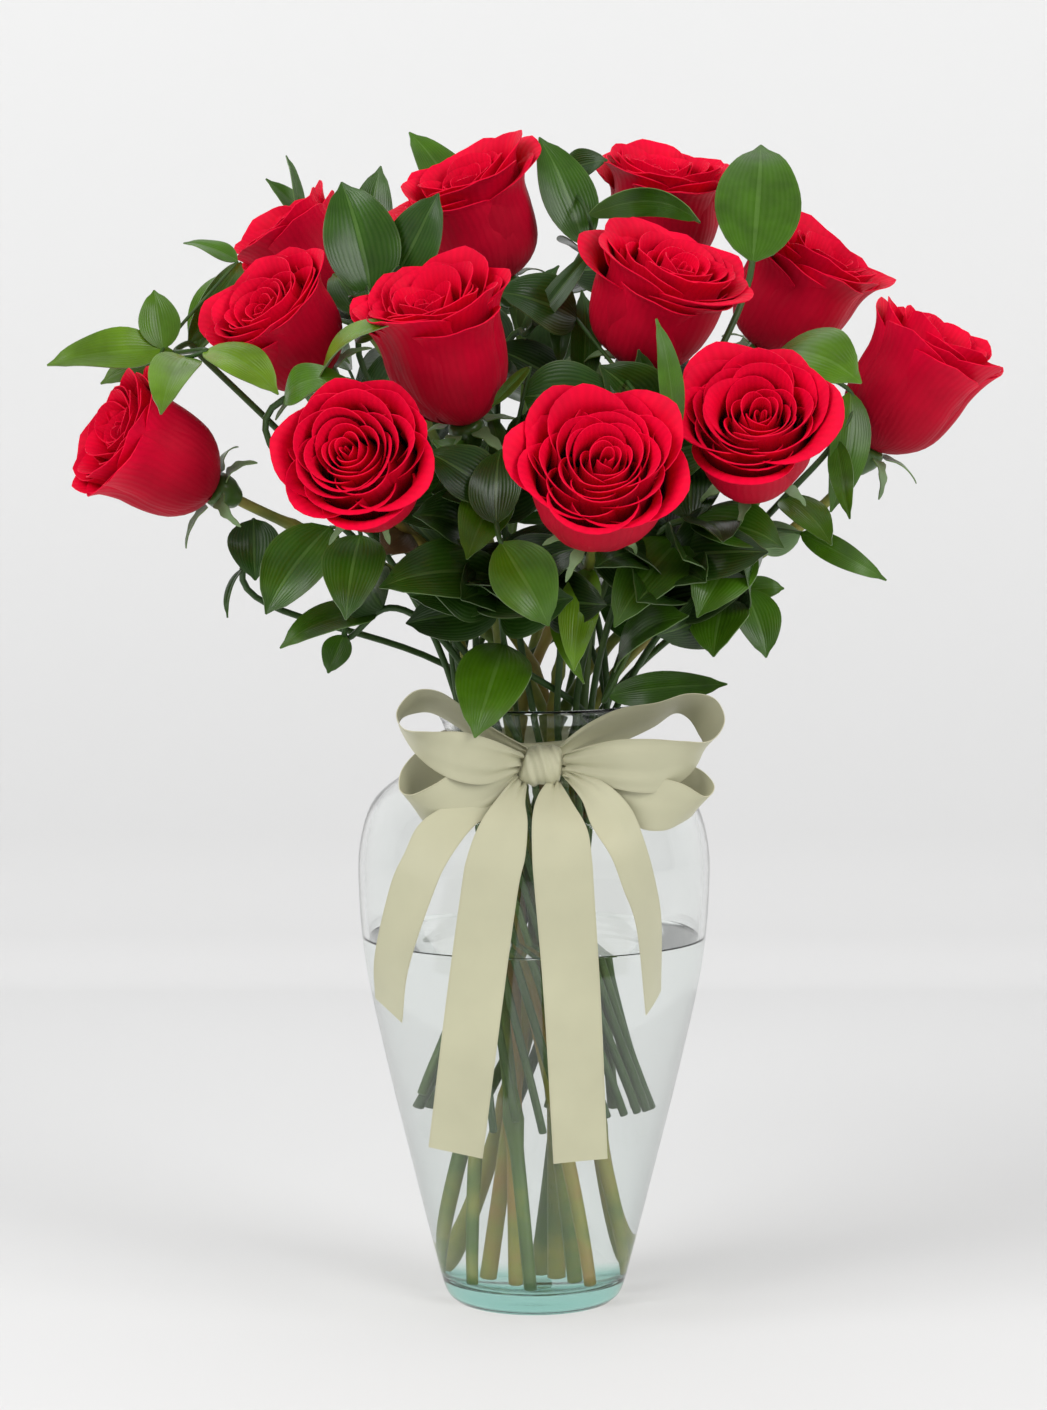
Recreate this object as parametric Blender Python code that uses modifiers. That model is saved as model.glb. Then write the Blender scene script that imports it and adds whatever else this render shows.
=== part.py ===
"""Twelve red roses and ruscus greens in a clear glass vase, with a satin bow on its neck.

Metres, +Z up. The origin is the centre of the vase's foot, on the surface it stands on.
The bow is on the -Y side, which is the front.
"""
import math

import bmesh
import bpy
import numpy as np
from mathutils import Vector

# ---------------------------------------------------------------- driving dimensions (metres)
GAP = 0.0003            # clearance between pieces that touch
MERGE = 0.00005

VASE_HEIGHT = 0.268
BELLY_RADIUS = 0.0785
GLASS = 0.003
GLASS_FLOOR = 0.009
VASE_STEPS = 24
# outside of the vase, foot to lip, as (radius, height)
VASE_OUTSIDE = [
    (0.0360, 0.0000), (0.0400, 0.0050), (0.0450, 0.0230), (0.0556, 0.0650), (0.0665, 0.1100),
    (0.0755, 0.1530), (BELLY_RADIUS, 0.1900), (0.0770, 0.2100), (0.0715, 0.2250),
    (0.0600, 0.2350), (0.0480, 0.2392), (0.0415, 0.2435), (0.0380, 0.2480), (0.0384, 0.2520),
    (0.0412, 0.2600), (0.0450, 0.2665), (0.0442, VASE_HEIGHT),
]
NECK_HEIGHT = 0.246     # plane in which the stems' places are set
WATER_LEVEL = 0.165

ROSE_STEM_RADIUS = 0.00275
GREEN_STEM_RADIUS = 0.0017
TWIST = math.radians(110)   # turn of the bunch between the neck and the vase floor
ROSE_SPREAD = 1.6           # growth of the bunch of roses over the same height
GREEN_SPREAD = 2.0          # and of the ring of greens round it
STEM_FOOT = 0.012
INNER_RING, OUTER_RING, GREEN_RING = 0.0100, 0.0215, 0.0310
GREEN_SLOTS = 24
OPEN_SECTOR = math.radians(34)  # left free at the back of the neck

LEAF_THICKNESS = 0.001
LEAF_FOLD = 0.12        # rise of a leaf's edges over its midrib, as a share of its half width
STALK_HALF_WIDTH = 0.0011
POINT_HALF_WIDTH = 0.0009
NODE_SPACING = 0.004    # leaves closer than this share a joint on the stem
FRONT_UP = Vector((0.0, -0.8, 0.6))
RIBBON_WIDTH = 0.025
RIBBON_THICKNESS = 0.0009

# rose: centre (mm), the way it faces, radius and height (mm), slot of its stem
ROSES = [
    ((-163, -60, 383), (-0.74, -0.42, 0.42), 28, 60, 3),
    ((-106, 50, 473), (-0.62, -0.15, 0.75), 28, 52, 2),
    ((-112, -35, 436), (-0.45, -0.50, 0.62), 30, 52, 8),
    ((-30, 42, 488), (-0.36, -0.35, 0.86), 33, 58, 7),
    ((-40, -82, 426), (-0.22, -0.45, 0.86), 31, 68, 9),
    ((-73, -120, 378), (-0.15, -0.93, 0.25), 31, 52, 0),
    ((27, -130, 372), (0.0, -0.86, 0.48), 34, 52, 10),
    ((55, -60, 447), (0.30, -0.50, 0.80), 33, 58, 11),
    ((60, 66, 494), (0.10, -0.30, 0.95), 31, 54, 6),
    ((127, 32, 457), (0.46, -0.30, 0.82), 32, 60, 1),
    ((92, -100, 393), (-0.10, -0.80, 0.50), 31.5, 56, 5),
    ((172, -15, 414), (0.55, -0.12, 0.80), 29, 66, 4),
]
# bloom outline, base to tip, as (share of radius, share of height)
BLOOM_OUTLINE = [
    (0.20, 0.00), (0.44, 0.05), (0.76, 0.20), (0.96, 0.40), (1.00, 0.60), (0.88, 0.80), (0.55, 0.95),
]
BLOOM_STEPS = 12
# green cup under the bloom, top to bottom, as (radius, height) from the bloom's base
CALYX_CUP = [
    (0.0, -GAP), (0.0062, -GAP), (0.0075, -0.003), (0.0062, -0.0085), (0.0034, -0.0125), (0.0, -0.0125),
]
CALYX_STEPS = 8
HIP_DROP = 0.009        # the stem's end inside the cup, below the bloom's base
SEPALS = 5
SEPAL_ROOT, SEPAL_POINT = (0.0060, -0.0035), (0.0180, -0.0150)  # radius and height
SEPAL_WIDTH = 0.0075
SEPAL_ARCH = 0.10
SEPAL_THICKNESS = 0.0008

# front sprigs of ruscus: slot in the green ring, height of the cut end (mm), then its leaves as
# base (mm), tip (mm), width (mm), roll (degrees), arch (share of length)
SPRIGS = {
    "01": (4, 90, [
        ((-161, -30, 424), (-209, -45, 418), 21, 0, 0.05),
        ((-161, -30, 425), (-165, -25, 450), 17, 10, 0.05),
        ((-151, -19, 427), (-130, 19, 465), 13, 30, 0.12),
        ((-147, -18, 423), (-134, 29, 462), 17, -10, 0.1),
        ((-148, -60, 420), (-154, -105, 397), 20, 0, 0.08),
        ((-156, -25, 423), (-189, -25, 410), 15, 0, 0),
        ((-139, -64, 423), (-107, -85, 405), 20, -10, 0.1),
        ((-130, -10, 463), (-154, -5, 472), 12, 20, 0.05),
    ]),
    "02": (17, 90, [
        ((-109, 95, 490), (-115, 95, 518), 8, 50, 0),
        ((-95, 108, 478), (-125, 100, 508), 14, 10, 0),
        ((-80, 92, 462), (-72, 102, 514), 21, 0, 0),
    ]),
    "03": (18, 90, [
        ((-71, -20, 447), (-84, -10, 498), 32, 5, 0.06),
        ((-62, -10, 454), (-42, -18, 492), 24, 10, 0),
        ((-75, -18, 438), (-89, 4, 459), 17, 0, 0.05),
    ]),
    "04": (11, 90, [
        ((-89, -85, 410), (-59, -119, 433), 19, -15, 0.1),
        ((-105, -80, 402), (-79, -100, 411), 16, 10, 0.15),
    ]),
    "05": (22, 90, [
        ((-30, 92, 492), (-58, 102, 530), 22, 5, 0),
    ]),
    "06": (12, 90, [
        ((23, 30, 472), (3, 40, 522), 24, 10, 0.04),
        ((12, 60, 508), (33, 46, 512), 14, 20, 0),
        ((24, 18, 485), (73, 5, 480), 14, 70, -0.35),
        ((-1, -50, 433), (25, -48, 466), 9, 15, 0.05),
        ((-6, -40, 432), (10, -40, 460), 11, -15, 0.05),
    ]),
    "07": (14, 90, [
        ((95, -18, 462), (103, 40, 520), 36, 5, 0.03),
    ]),
    "08": (19, 90, [
        ((103, -50, 424), (135, -85, 405), 29, -20, 0.2),
        ((137, -30, 406), (129, -38, 354), 19, -30, 0.1),
        ((130, -40, 385), (134, -60, 352), 10, 20, 0.05),
        ((108, -38, 360), (125, -75, 342), 17, 0, 0.05),
    ]),
    "09": (15, 90, [
        ((66, -73, 351), (104, -88, 341), 26, -10, 0.08),
        ((117, -38, 347), (90, -72, 343), 15, 150, 0.05),
        ((115, -40, 345), (151, -50, 325), 11, 30, 0.18),
    ]),
    "10": (21, 90, [
        ((88, -60, 340), (68, -90, 312), 26, 0, 0.08),
        ((81, -60, 317), (75, -85, 295), 25, 10, 0.05),
        ((90, -50, 321), (99, -65, 293), 20, -10, 0.05),
        ((90, -40, 320), (108, -40, 321), 10, 20, 0.08),
    ]),
    "11": (20, 90, [
        ((63, -70, 344), (33, -105, 309), 27, 0, 0.08),
        ((36, -48, 289), (62, -99, 313), 26, 10, 0.08),
        ((31, -62, 276), (82, -66, 281), 14, 40, -0.25),
    ]),
    "12": (13, 90, [
        ((-14, -110, 343), (6, -115, 309), 26, 0, 0.06),
        ((8, -66, 314), (20, -92, 284), 8, 25, 0.05),
        ((-15, -80, 367), (-28, -110, 337), 21, 0, 0.05),
    ]),
    "13": (16, 90, [
        ((-13, -60, 298), (-25, -95, 262), 30, 0, 0.08),
        ((-16, -75, 327), (-64, -100, 325), 28, -5, 0.12),
    ]),
    "14": (10, 90, [
        ((-73, -80, 345), (-78, -110, 312), 25, 0, 0.1),
        ((-87, -60, 348), (-113, -85, 313), 28, 0, 0.06),
        ((-68, -50, 311), (-108, -70, 298), 19, 10, 0.1),
        ((-82, -45, 301), (-89, -50, 285), 12, 0, 0.05),
    ]),
    "15": (1, 90, [
        ((-121, -42, 351), (-120, -50, 325), 21, 0, 0.06),
        ((-127, -30, 329), (-133, -45, 309), 5, 40, 0.1),
    ]),
    "16": (9, 90, [
        ((12, -30, 445), (11, -45, 417), 9, 10, 0),
        ((20, -44, 406), (21, -30, 450), 13, 20, 0.05),
        ((57, -118, 384), (50, -122, 434), 10, 20, 0.05),
        ((49, -60, 395), (44, -82, 422), 13, 0, 0),
    ]),
    "17": (8, 90, [
        ((-2, -94, 415), (-18, -90, 399), 6, 0, 0),
        ((-19, -60, 363), (-42, -80, 385), 18, 0, 0.05),
        ((-13, -56, 368), (-19, -60, 397), 11, 20, 0),
    ]),
}

# leaves of the rose bush itself: rose number, base, tip, width (mm), roll, arch
ROSE_LEAVES = [
    (6, (-42, -66, 352), (-64, -72, 337), 19, -20, 0.10),
    (7, (6, -96, 312), (16, -100, 290), 18, 10, 0.06),
]

# six sprigs that fill the back, by rule
BACK_SPRIGS = 6
BACK_FIRST, BACK_LAST = math.radians(38), math.radians(142)
BACK_SLOTS = [3, 23, 0, 5, 6, 7]
BACK_LEAVES = 5
BACK_LEAF = (0.033, 0.023)  # length and width
BACK_LOW, BACK_HIGH = (0.058, 0.325), (0.108, 0.405)  # radius and height of first and last leaf
BACK_FOOT, BACK_FOOT_STEP = 0.085, 0.012

# bow: where each loop starts beside the knot, where it points, how long and how deep it is
KNOT_CENTRE, KNOT_SIZE = (3, -56, 247), (17, 12, 17)
LOOPS = {
    "ribbon_loop_upper_left": ((-10, -61, 253), (-0.88, -0.13, 0.42), (0.42, -0.30, 0.86), 48),
    "ribbon_loop_lower_left": ((-10, -73, 236), (-0.90, -0.10, -0.34), (-0.28, 0.15, 0.92), 46),
    "ribbon_loop_upper_right": ((16, -61, 253), (0.90, -0.10, 0.36), (-0.38, -0.30, 0.86), 60),
    "ribbon_loop_lower_right": ((15, -73, 236), (0.92, -0.06, -0.33), (0.26, 0.15, 0.93), 52),
}
LOOP_DEPTH = 9
LOOP_OPENING = 0.085    # share of the turn left out at the knot
LOOP_STEPS = 16
NECK_BAND = [
    (0.0443, 0.2588), (0.0452, 0.2520), (0.0446, 0.2462), (0.0428, 0.2448), (0.0394, 0.2480),
    (0.0394, 0.2520), (0.0426, 0.2588),
]
# tails: middle line from the knot down (mm), then how far the cut end slants (mm)
TAILS = {
    "ribbon_tail_left_short": ([(-40, -85, 204), (-53, -88, 192), (-60, -87, 170),
                                (-63, -88, 148)], -8),
    "ribbon_tail_left_long": ([(-9, -83, 224), (-14, -87, 212), (-22, -87, 194), (-28, -88, 150),
                               (-33, -87, 110), (-36, -86, 84)], -5),
    "ribbon_tail_right_long": ([(8, -82, 226), (12, -85, 212), (14, -90, 188), (16, -90, 150),
                                (19, -88, 110), (21, -86, 80)], 4),
    "ribbon_tail_right_short": ([(30, -79, 216), (41, -86, 194), (48, -88, 176),
                                 (51, -89, 150)], 9),
}

# ---------------------------------------------------------------- scene and materials


def clear_scene():
    for old in list(bpy.data.objects):
        bpy.data.objects.remove(old, do_unlink=True)


def new_collection(name):
    made = bpy.data.collections.new(name)
    bpy.context.scene.collection.children.link(made)
    return made


def principled(name, colour, roughness, alpha=1.0, transmission=0.0):
    made = bpy.data.materials.new(name)
    made.use_nodes = True
    shader = made.node_tree.nodes["Principled BSDF"]
    shader.inputs["Base Color"].default_value = (*colour, 1.0)
    shader.inputs["Roughness"].default_value = roughness
    shader.inputs["Metallic"].default_value = 0.0
    shader.inputs["Alpha"].default_value = alpha
    shader.inputs["Transmission Weight"].default_value = transmission
    return made


def mm(point):
    return Vector(point) * 0.001


def add_object(name, mesh, material, collection):
    made = bpy.data.objects.new(name, mesh)
    collection.objects.link(made)
    mesh.materials.clear()
    mesh.materials.append(material)
    return made


def add_guide(name, mesh, guides):
    """A closed mesh that a Boolean reads; it is not a part."""
    made = bpy.data.objects.new(name, mesh)
    guides.objects.link(made)
    made.hide_render = True
    made.display_type = "WIRE"
    return made


def add_boolean(part, operand, operation):
    modifier = part.modifiers.new(operation.title() + " " + operand.name, "BOOLEAN")
    modifier.object = operand
    modifier.operation = operation
    modifier.solver = "EXACT"
    modifier.use_self = operation == "UNION"


# ---------------------------------------------------------------- shapes


def profile_mesh(name, outline, closed):
    """Edges through (radius, height) points, in the XZ plane, for a Screw modifier."""
    mesh = bpy.data.meshes.new(name)
    shape = bmesh.new()
    points = [shape.verts.new((radius, 0.0, height)) for radius, height in outline]
    for first, second in zip(points[:-1], points[1:]):
        shape.edges.new((first, second))
    if closed:
        shape.edges.new((points[-1], points[0]))
    shape.to_mesh(mesh)
    shape.free()
    return mesh


def add_screw(part, steps):
    turn = part.modifiers.new("Turn", "SCREW")
    turn.axis = "Z"
    turn.steps = steps
    turn.render_steps = steps
    turn.use_merge_vertices = True
    turn.merge_threshold = MERGE
    turn.use_smooth_shade = True


def evaluated_mesh(part):
    """The finished mesh of an object, its modifiers or bevel included, with doubles welded."""
    bpy.context.view_layer.update()
    seen = part.evaluated_get(bpy.context.evaluated_depsgraph_get())
    mesh = bpy.data.meshes.new_from_object(seen)
    shape = bmesh.new()
    shape.from_mesh(mesh)
    bmesh.ops.remove_doubles(shape, verts=shape.verts, dist=MERGE)
    shape.to_mesh(mesh)
    shape.free()
    return mesh


def tube_mesh(name, runs, guides):
    """Closed tubes, one for each run of (point, radius) pairs, welded into one mesh."""
    curve = bpy.data.curves.new(name, "CURVE")
    curve.dimensions = "3D"
    curve.bevel_depth = 1.0
    curve.bevel_resolution = 1
    curve.use_fill_caps = True
    for run in runs:
        spline = curve.splines.new("POLY")
        spline.points.add(len(run) - 1)
        for knot, (point, radius) in zip(spline.points, run):
            knot.co = (*point, 1.0)
            knot.radius = radius
    wire = bpy.data.objects.new(name, curve)
    guides.objects.link(wire)
    mesh = evaluated_mesh(wire)
    bpy.data.objects.remove(wire, do_unlink=True)
    return mesh


def bezier(start, start_pull, end_pull, end, count):
    """Points along a cubic from start to end; the pulls are its two handles."""
    points = []
    for step in range(count):
        t = step / (count - 1)
        s = 1.0 - t
        early = start * s**3 + start_pull * (3 * s * s * t)
        points.append(early + end_pull * (3 * s * t * t) + end * t**3)
    return points


def add_blade(shape, base, tip, width, roll, arch, up, fold=LEAF_FOLD, rows=3, columns=2):
    """A pointed leaf surface from base to tip, folded along its midrib and arched along its length."""
    along = (tip - base).normalized()
    length = (tip - base).length
    normal = (up - along * up.dot(along)).normalized()
    side = along.cross(normal)
    turn = math.radians(roll)
    normal, side = (normal * math.cos(turn) + side * math.sin(turn),
                    side * math.cos(turn) - normal * math.sin(turn))
    grid = bmesh.ops.create_grid(shape, x_segments=columns, y_segments=rows, size=1.0)
    for vert in grid["verts"]:
        across, v = vert.co.x, (vert.co.y + 1.0) / 2.0
        half = 0.5 * width * math.sin(math.pi * v**0.85) ** 0.8 * (1.08 - 0.25 * v)
        half = STALK_HALF_WIDTH if v < 0.01 else max(POINT_HALF_WIDTH, half)
        vert.co = (base + along * (v * length) + side * (across * half)
                   + normal * (4 * arch * length * v * (1 - v) + fold * abs(across) * half))


def blades_object(name, blades, thickness, guides):
    """Solid leaves, each a closed piece of one guide mesh."""
    shape = bmesh.new()
    for blade in blades:
        add_blade(shape, *blade)
    mesh = bpy.data.meshes.new(name)
    shape.to_mesh(mesh)
    shape.free()
    made = add_guide(name, mesh, guides)
    thick = made.modifiers.new("Thickness", "SOLIDIFY")
    thick.thickness = thickness
    thick.offset = 0.0
    return made


# ---------------------------------------------------------------- layout of the stems


def waist_point(ring, angle):
    return Vector((ring * math.cos(angle), ring * math.sin(angle), NECK_HEIGHT))


def bunch_point(waist, height):
    """Where the straight line of a stem, below the neck, crosses a height.

    The bunch is a twisted sheaf: going down, a stem's place in it is blended from its place at
    the neck to that place turned by TWIST and spread out, so no two stems ever meet.
    """
    share = (NECK_HEIGHT - height) / (NECK_HEIGHT - STEM_FOOT)
    is_green = math.hypot(waist.x, waist.y) > (OUTER_RING + GREEN_RING) / 2
    spread = GREEN_SPREAD if is_green else ROSE_SPREAD
    c, s = spread * math.cos(TWIST), spread * math.sin(TWIST)
    foot_x, foot_y = c * waist.x - s * waist.y, s * waist.x + c * waist.y
    return Vector((waist.x + (foot_x - waist.x) * share, waist.y + (foot_y - waist.y) * share, height))


def bunch_direction(waist):
    return (waist - bunch_point(waist, STEM_FOOT)).normalized()


def rose_waist(slot):
    if slot < 4:
        return waist_point(INNER_RING, math.radians(45 + 90 * slot))
    return waist_point(OUTER_RING, math.radians(22.5 + 45 * (slot - 4)))


def green_waist(slot):
    first = math.radians(90) + OPEN_SECTOR / 2
    step = (2 * math.pi - OPEN_SECTOR) / (GREEN_SLOTS - 1)
    return waist_point(GREEN_RING, first + step * slot)


def bloom_place(centre, axis, height):
    """The bloom's base and the direction it faces, from its centre and height in mm."""
    axis = Vector(axis).normalized()
    return mm(centre) - axis * (height * 0.0005), axis


def rising_curve(waist, end, end_direction, leave, arrive, count):
    """From the neck up: leaves along the bunch and arrives along end_direction.

    leave and arrive are the two handles, as shares of the distance.
    """
    reach = (end - waist).length
    start_pull = waist + bunch_direction(waist) * reach * leave
    return bezier(waist, start_pull, end - end_direction * reach * arrive, end, count)


# ---------------------------------------------------------------- parts


def make_vase(parts):
    inside = [(radius - GLASS, height) for radius, height in VASE_OUTSIDE[2:-1]]
    floor = [(0.0, GLASS_FLOOR), (0.0385, GLASS_FLOOR)]
    lip = [(0.0435, VASE_HEIGHT - 0.0004)]
    outline = floor + inside + lip + VASE_OUTSIDE[::-1] + [(0.0, 0.0)]
    glass = principled("vase_glass", (0.93, 0.98, 0.97), 0.02, 0.35, 1.0)
    vase = add_object("vase", profile_mesh("vase", outline, False), glass, parts)
    add_screw(vase, VASE_STEPS)


def inside_radius(height):
    heights = [GLASS_FLOOR] + [z for _, z in VASE_OUTSIDE[2:]]
    radii = [0.0385] + [r - GLASS for r, _ in VASE_OUTSIDE[2:]]
    return float(np.interp(height, heights, radii))


def make_water(parts, guides, stem_lines):
    bottom = GLASS_FLOOR + GAP
    levels = [WATER_LEVEL, 0.153, 0.11, 0.065, 0.023, bottom]
    slack = 0.0008  # the vase wall is faceted, so its flats lie inside its corners
    outline = [(0.0, WATER_LEVEL)]
    outline += [(inside_radius(level) - slack, level) for level in levels]
    outline += [(0.0, bottom)]
    liquid = principled("water", (0.90, 0.96, 0.96), 0.0, 0.35, 1.0)
    water = add_object("water", profile_mesh("water", outline, False), liquid, parts)
    add_screw(water, VASE_STEPS)
    runs = []
    for waist, foot, radius in stem_lines:
        if foot > WATER_LEVEL:
            continue
        down = -bunch_direction(waist)
        low = bunch_point(waist, foot) + down * GAP
        high = bunch_point(waist, WATER_LEVEL + 0.01)
        runs.append([(low, radius + GAP), (high, radius + GAP)])
    holes = add_guide("stem_holes", tube_mesh("stem_holes", runs, guides), guides)
    add_boolean(water, holes, "DIFFERENCE")


def make_rose(number, rose, parts, guides, stem_green, petal_red):
    centre, axis, radius, height, slot = rose
    base, axis = bloom_place(centre, axis, height)
    waist = rose_waist(slot)
    hip = base - axis * HIP_DROP
    points = [bunch_point(waist, STEM_FOOT)] + rising_curve(waist, hip, axis, 0.35, 0.3, 8)
    name = f"rose_stem_{number:02d}"
    run = [(point, ROSE_STEM_RADIUS) for point in points]
    stem = add_object(name, tube_mesh(name, [run], guides), stem_green, parts)
    turn = axis.to_track_quat("Z", "Y").to_matrix().to_4x4()
    place = turn.copy()
    place.translation = base
    calyx = add_guide(name + "_calyx", profile_mesh(name + "_calyx", CALYX_CUP, False), guides)
    add_screw(calyx, CALYX_STEPS)
    calyx.matrix_world = place
    add_boolean(stem, calyx, "UNION")
    blades = []
    for index in range(SEPALS):
        angle = math.radians(20 + 360 * index / SEPALS)
        out = Vector((math.cos(angle), math.sin(angle), 0.0))
        start = place @ (out * SEPAL_ROOT[0] + Vector((0, 0, SEPAL_ROOT[1])))
        end = place @ (out * SEPAL_POINT[0] + Vector((0, 0, SEPAL_POINT[1])))
        up = turn @ (out + Vector((0, 0, 1)))
        blades.append((start, end, SEPAL_WIDTH, 0.0, SEPAL_ARCH, up, 0.0, 2, 1))
    for owner, leaf_base, leaf_tip, width, roll, arch in ROSE_LEAVES:
        if owner == number:
            joint = min(points, key=lambda point: (point - mm(leaf_base)).length)
            blades.append((joint, mm(leaf_tip), width * 0.001, roll, arch, FRONT_UP))
    add_boolean(stem, blades_object(name + "_sepals", blades, SEPAL_THICKNESS, guides), "UNION")

    outline = [(share_r * radius * 0.001, share_z * height * 0.001) for share_r, share_z in BLOOM_OUTLINE]
    outline = [(0.0, height * 0.001)] + outline[::-1] + [(0.0, 0.0)]
    name = f"rose_bloom_{number:02d}"
    bloom = add_object(name, profile_mesh(name, outline, False), petal_red, parts)
    add_screw(bloom, BLOOM_STEPS)
    bloom.matrix_world = place
    return waist


def make_sprig(name, slot, foot, leaves, up, parts, guides, leaf_green):
    """One stem with its leaves. It rises from the neck to its lowest leaf and then joins the rest."""
    waist = green_waist(slot)
    leaves = sorted(leaves, key=lambda leaf: (leaf[0] - waist).length)
    nodes = [leaves[0][0]]
    for leaf in leaves[1:]:
        if (leaf[0] - nodes[-1]).length > NODE_SPACING:
            nodes.append(leaf[0])
    if len(nodes) > 1:
        end = (nodes[1] - nodes[0]).normalized()
    else:
        end = (leaves[0][1] - nodes[0]).normalized()
    lower = rising_curve(waist, nodes[0], end, 0.4, 0.25, 7)
    run = [(bunch_point(waist, foot), GREEN_STEM_RADIUS)]
    run += [(point, GREEN_STEM_RADIUS * (1.0 - 0.04 * index)) for index, point in enumerate(lower)]
    run += [(point, GREEN_STEM_RADIUS * 0.65) for point in nodes[1:]]
    name = "ruscus_sprig_" + name
    sprig = add_object(name, tube_mesh(name, [run], guides), leaf_green, parts)
    blades = []
    for base, tip, width, roll, arch in leaves:
        joint = min(nodes, key=lambda node: (node - base).length)
        blades.append((joint, tip, width, roll, arch, up))
    add_boolean(sprig, blades_object(name + "_leaves", blades, LEAF_THICKNESS, guides), "UNION")
    return waist


def back_sprig_leaves(index):
    """Leaves set left and right in turn up a stem that leans back and out."""
    angle = BACK_FIRST + (BACK_LAST - BACK_FIRST) * index / (BACK_SPRIGS - 1)
    out = Vector((math.cos(angle), math.sin(angle), 0.0))
    across = Vector((-out.y, out.x, 0.0))
    low = out * BACK_LOW[0] + Vector((0, 0, BACK_LOW[1] + 0.008 * (index % 2)))
    high = out * BACK_HIGH[0] + Vector((0, 0, BACK_HIGH[1] + 0.012 * (index % 2)))
    length, width = BACK_LEAF
    leaves = []
    for number in range(BACK_LEAVES):
        share = number / (BACK_LEAVES - 1)
        base = low.lerp(high, share)
        side = 1 if number % 2 else -1
        lean = (out * 0.9 + across * (0.55 * side) + Vector((0, 0, -0.1 + 0.6 * share))).normalized()
        if number == BACK_LEAVES - 1:
            lean = (high - low).normalized()
        leaves.append((base, base + lean * length, width, 0.0, 0.05))
    return leaves, (out + Vector((0, 0, 0.5)))


def strip_object(name, middle, across, thickness, material, parts):
    """A band of ribbon: a flat strip along the middle line, then given its thickness."""
    shape = bmesh.new()
    rows = len(middle) - 1
    grid = bmesh.ops.create_grid(shape, x_segments=1, y_segments=rows, size=1.0)
    for vert in grid["verts"]:
        row = round((vert.co.y + 1.0) / 2.0 * rows)
        vert.co = middle[row] + across[row] * (0.5 * vert.co.x)
    bmesh.ops.recalc_face_normals(shape, faces=shape.faces)
    mesh = bpy.data.meshes.new(name)
    shape.to_mesh(mesh)
    shape.free()
    made = add_object(name, mesh, material, parts)
    thick = made.modifiers.new("Thickness", "SOLIDIFY")
    thick.thickness = thickness
    thick.offset = 0.0
    return made


def make_loop(name, start, direction, width_axis, length, parts, satin):
    """A pear-shaped loop: out along the front, round the end and back behind."""
    out = Vector(direction).normalized()
    wide = Vector(width_axis)
    wide = (wide - out * wide.dot(out)).normalized()
    deep = out.cross(wide)
    middle, across = [], []
    for step in range(LOOP_STEPS + 1):
        angle = 2 * math.pi * (LOOP_OPENING + (1 - 2 * LOOP_OPENING) * step / LOOP_STEPS)
        reach = (1 - math.cos(angle)) / 2
        middle.append(mm(start) + out * (length * 0.001 * reach)
                      + deep * (LOOP_DEPTH * 0.001 * math.sin(angle) * math.sqrt(reach)))
        fullness = min(1.0, reach * 2.5)
        across.append(wide * RIBBON_WIDTH * (0.5 + 0.5 * fullness))
    strip_object(name, middle, across, RIBBON_THICKNESS, satin, parts)


def make_tail(name, points, slant, parts, satin):
    middle = [mm(point) for point in points]
    across = []
    for index, point in enumerate(middle):
        after = middle[min(index + 1, len(middle) - 1)]
        before = middle[max(index - 1, 0)]
        along = (after - before).normalized()
        wide = along.cross(Vector((0, -1, 0))).normalized()
        fullness = 0.6 + 0.4 * min(1.0, index / 1.5)
        across.append(wide * RIBBON_WIDTH * fullness)
    along = (middle[-1] - middle[-2]).normalized()
    across[-1] = across[-1] + along * (slant * 0.001)
    strip_object(name, middle, across, RIBBON_THICKNESS, satin, parts)


def make_bow(parts, guides, satin):
    band_mesh = profile_mesh("ribbon_neck_band", NECK_BAND, True)
    add_screw(add_object("ribbon_neck_band", band_mesh, satin, parts), VASE_STEPS)
    bpy.ops.mesh.primitive_cube_add(size=1.0)
    knot = bpy.context.object
    knot.name = knot.data.name = "ribbon_knot"
    for owner in list(knot.users_collection):
        owner.objects.unlink(knot)
    parts.objects.link(knot)
    knot.data.materials.append(satin)
    knot.data.transform(knot.matrix_world)
    for vert in knot.data.vertices:
        vert.co = Vector(vert.co) * 0.001
        vert.co.x *= KNOT_SIZE[0]
        vert.co.y *= KNOT_SIZE[1]
        vert.co.z *= KNOT_SIZE[2]
    knot.location = mm(KNOT_CENTRE)
    soften = knot.modifiers.new("Soft edges", "BEVEL")
    soften.width = 0.003
    soften.segments = 2
    for name, (start, direction, width_axis, length) in LOOPS.items():
        make_loop(name, start, direction, width_axis, length, parts, satin)
    for name, (points, slant) in TAILS.items():
        make_tail(name, points, slant, parts, satin)


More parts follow.
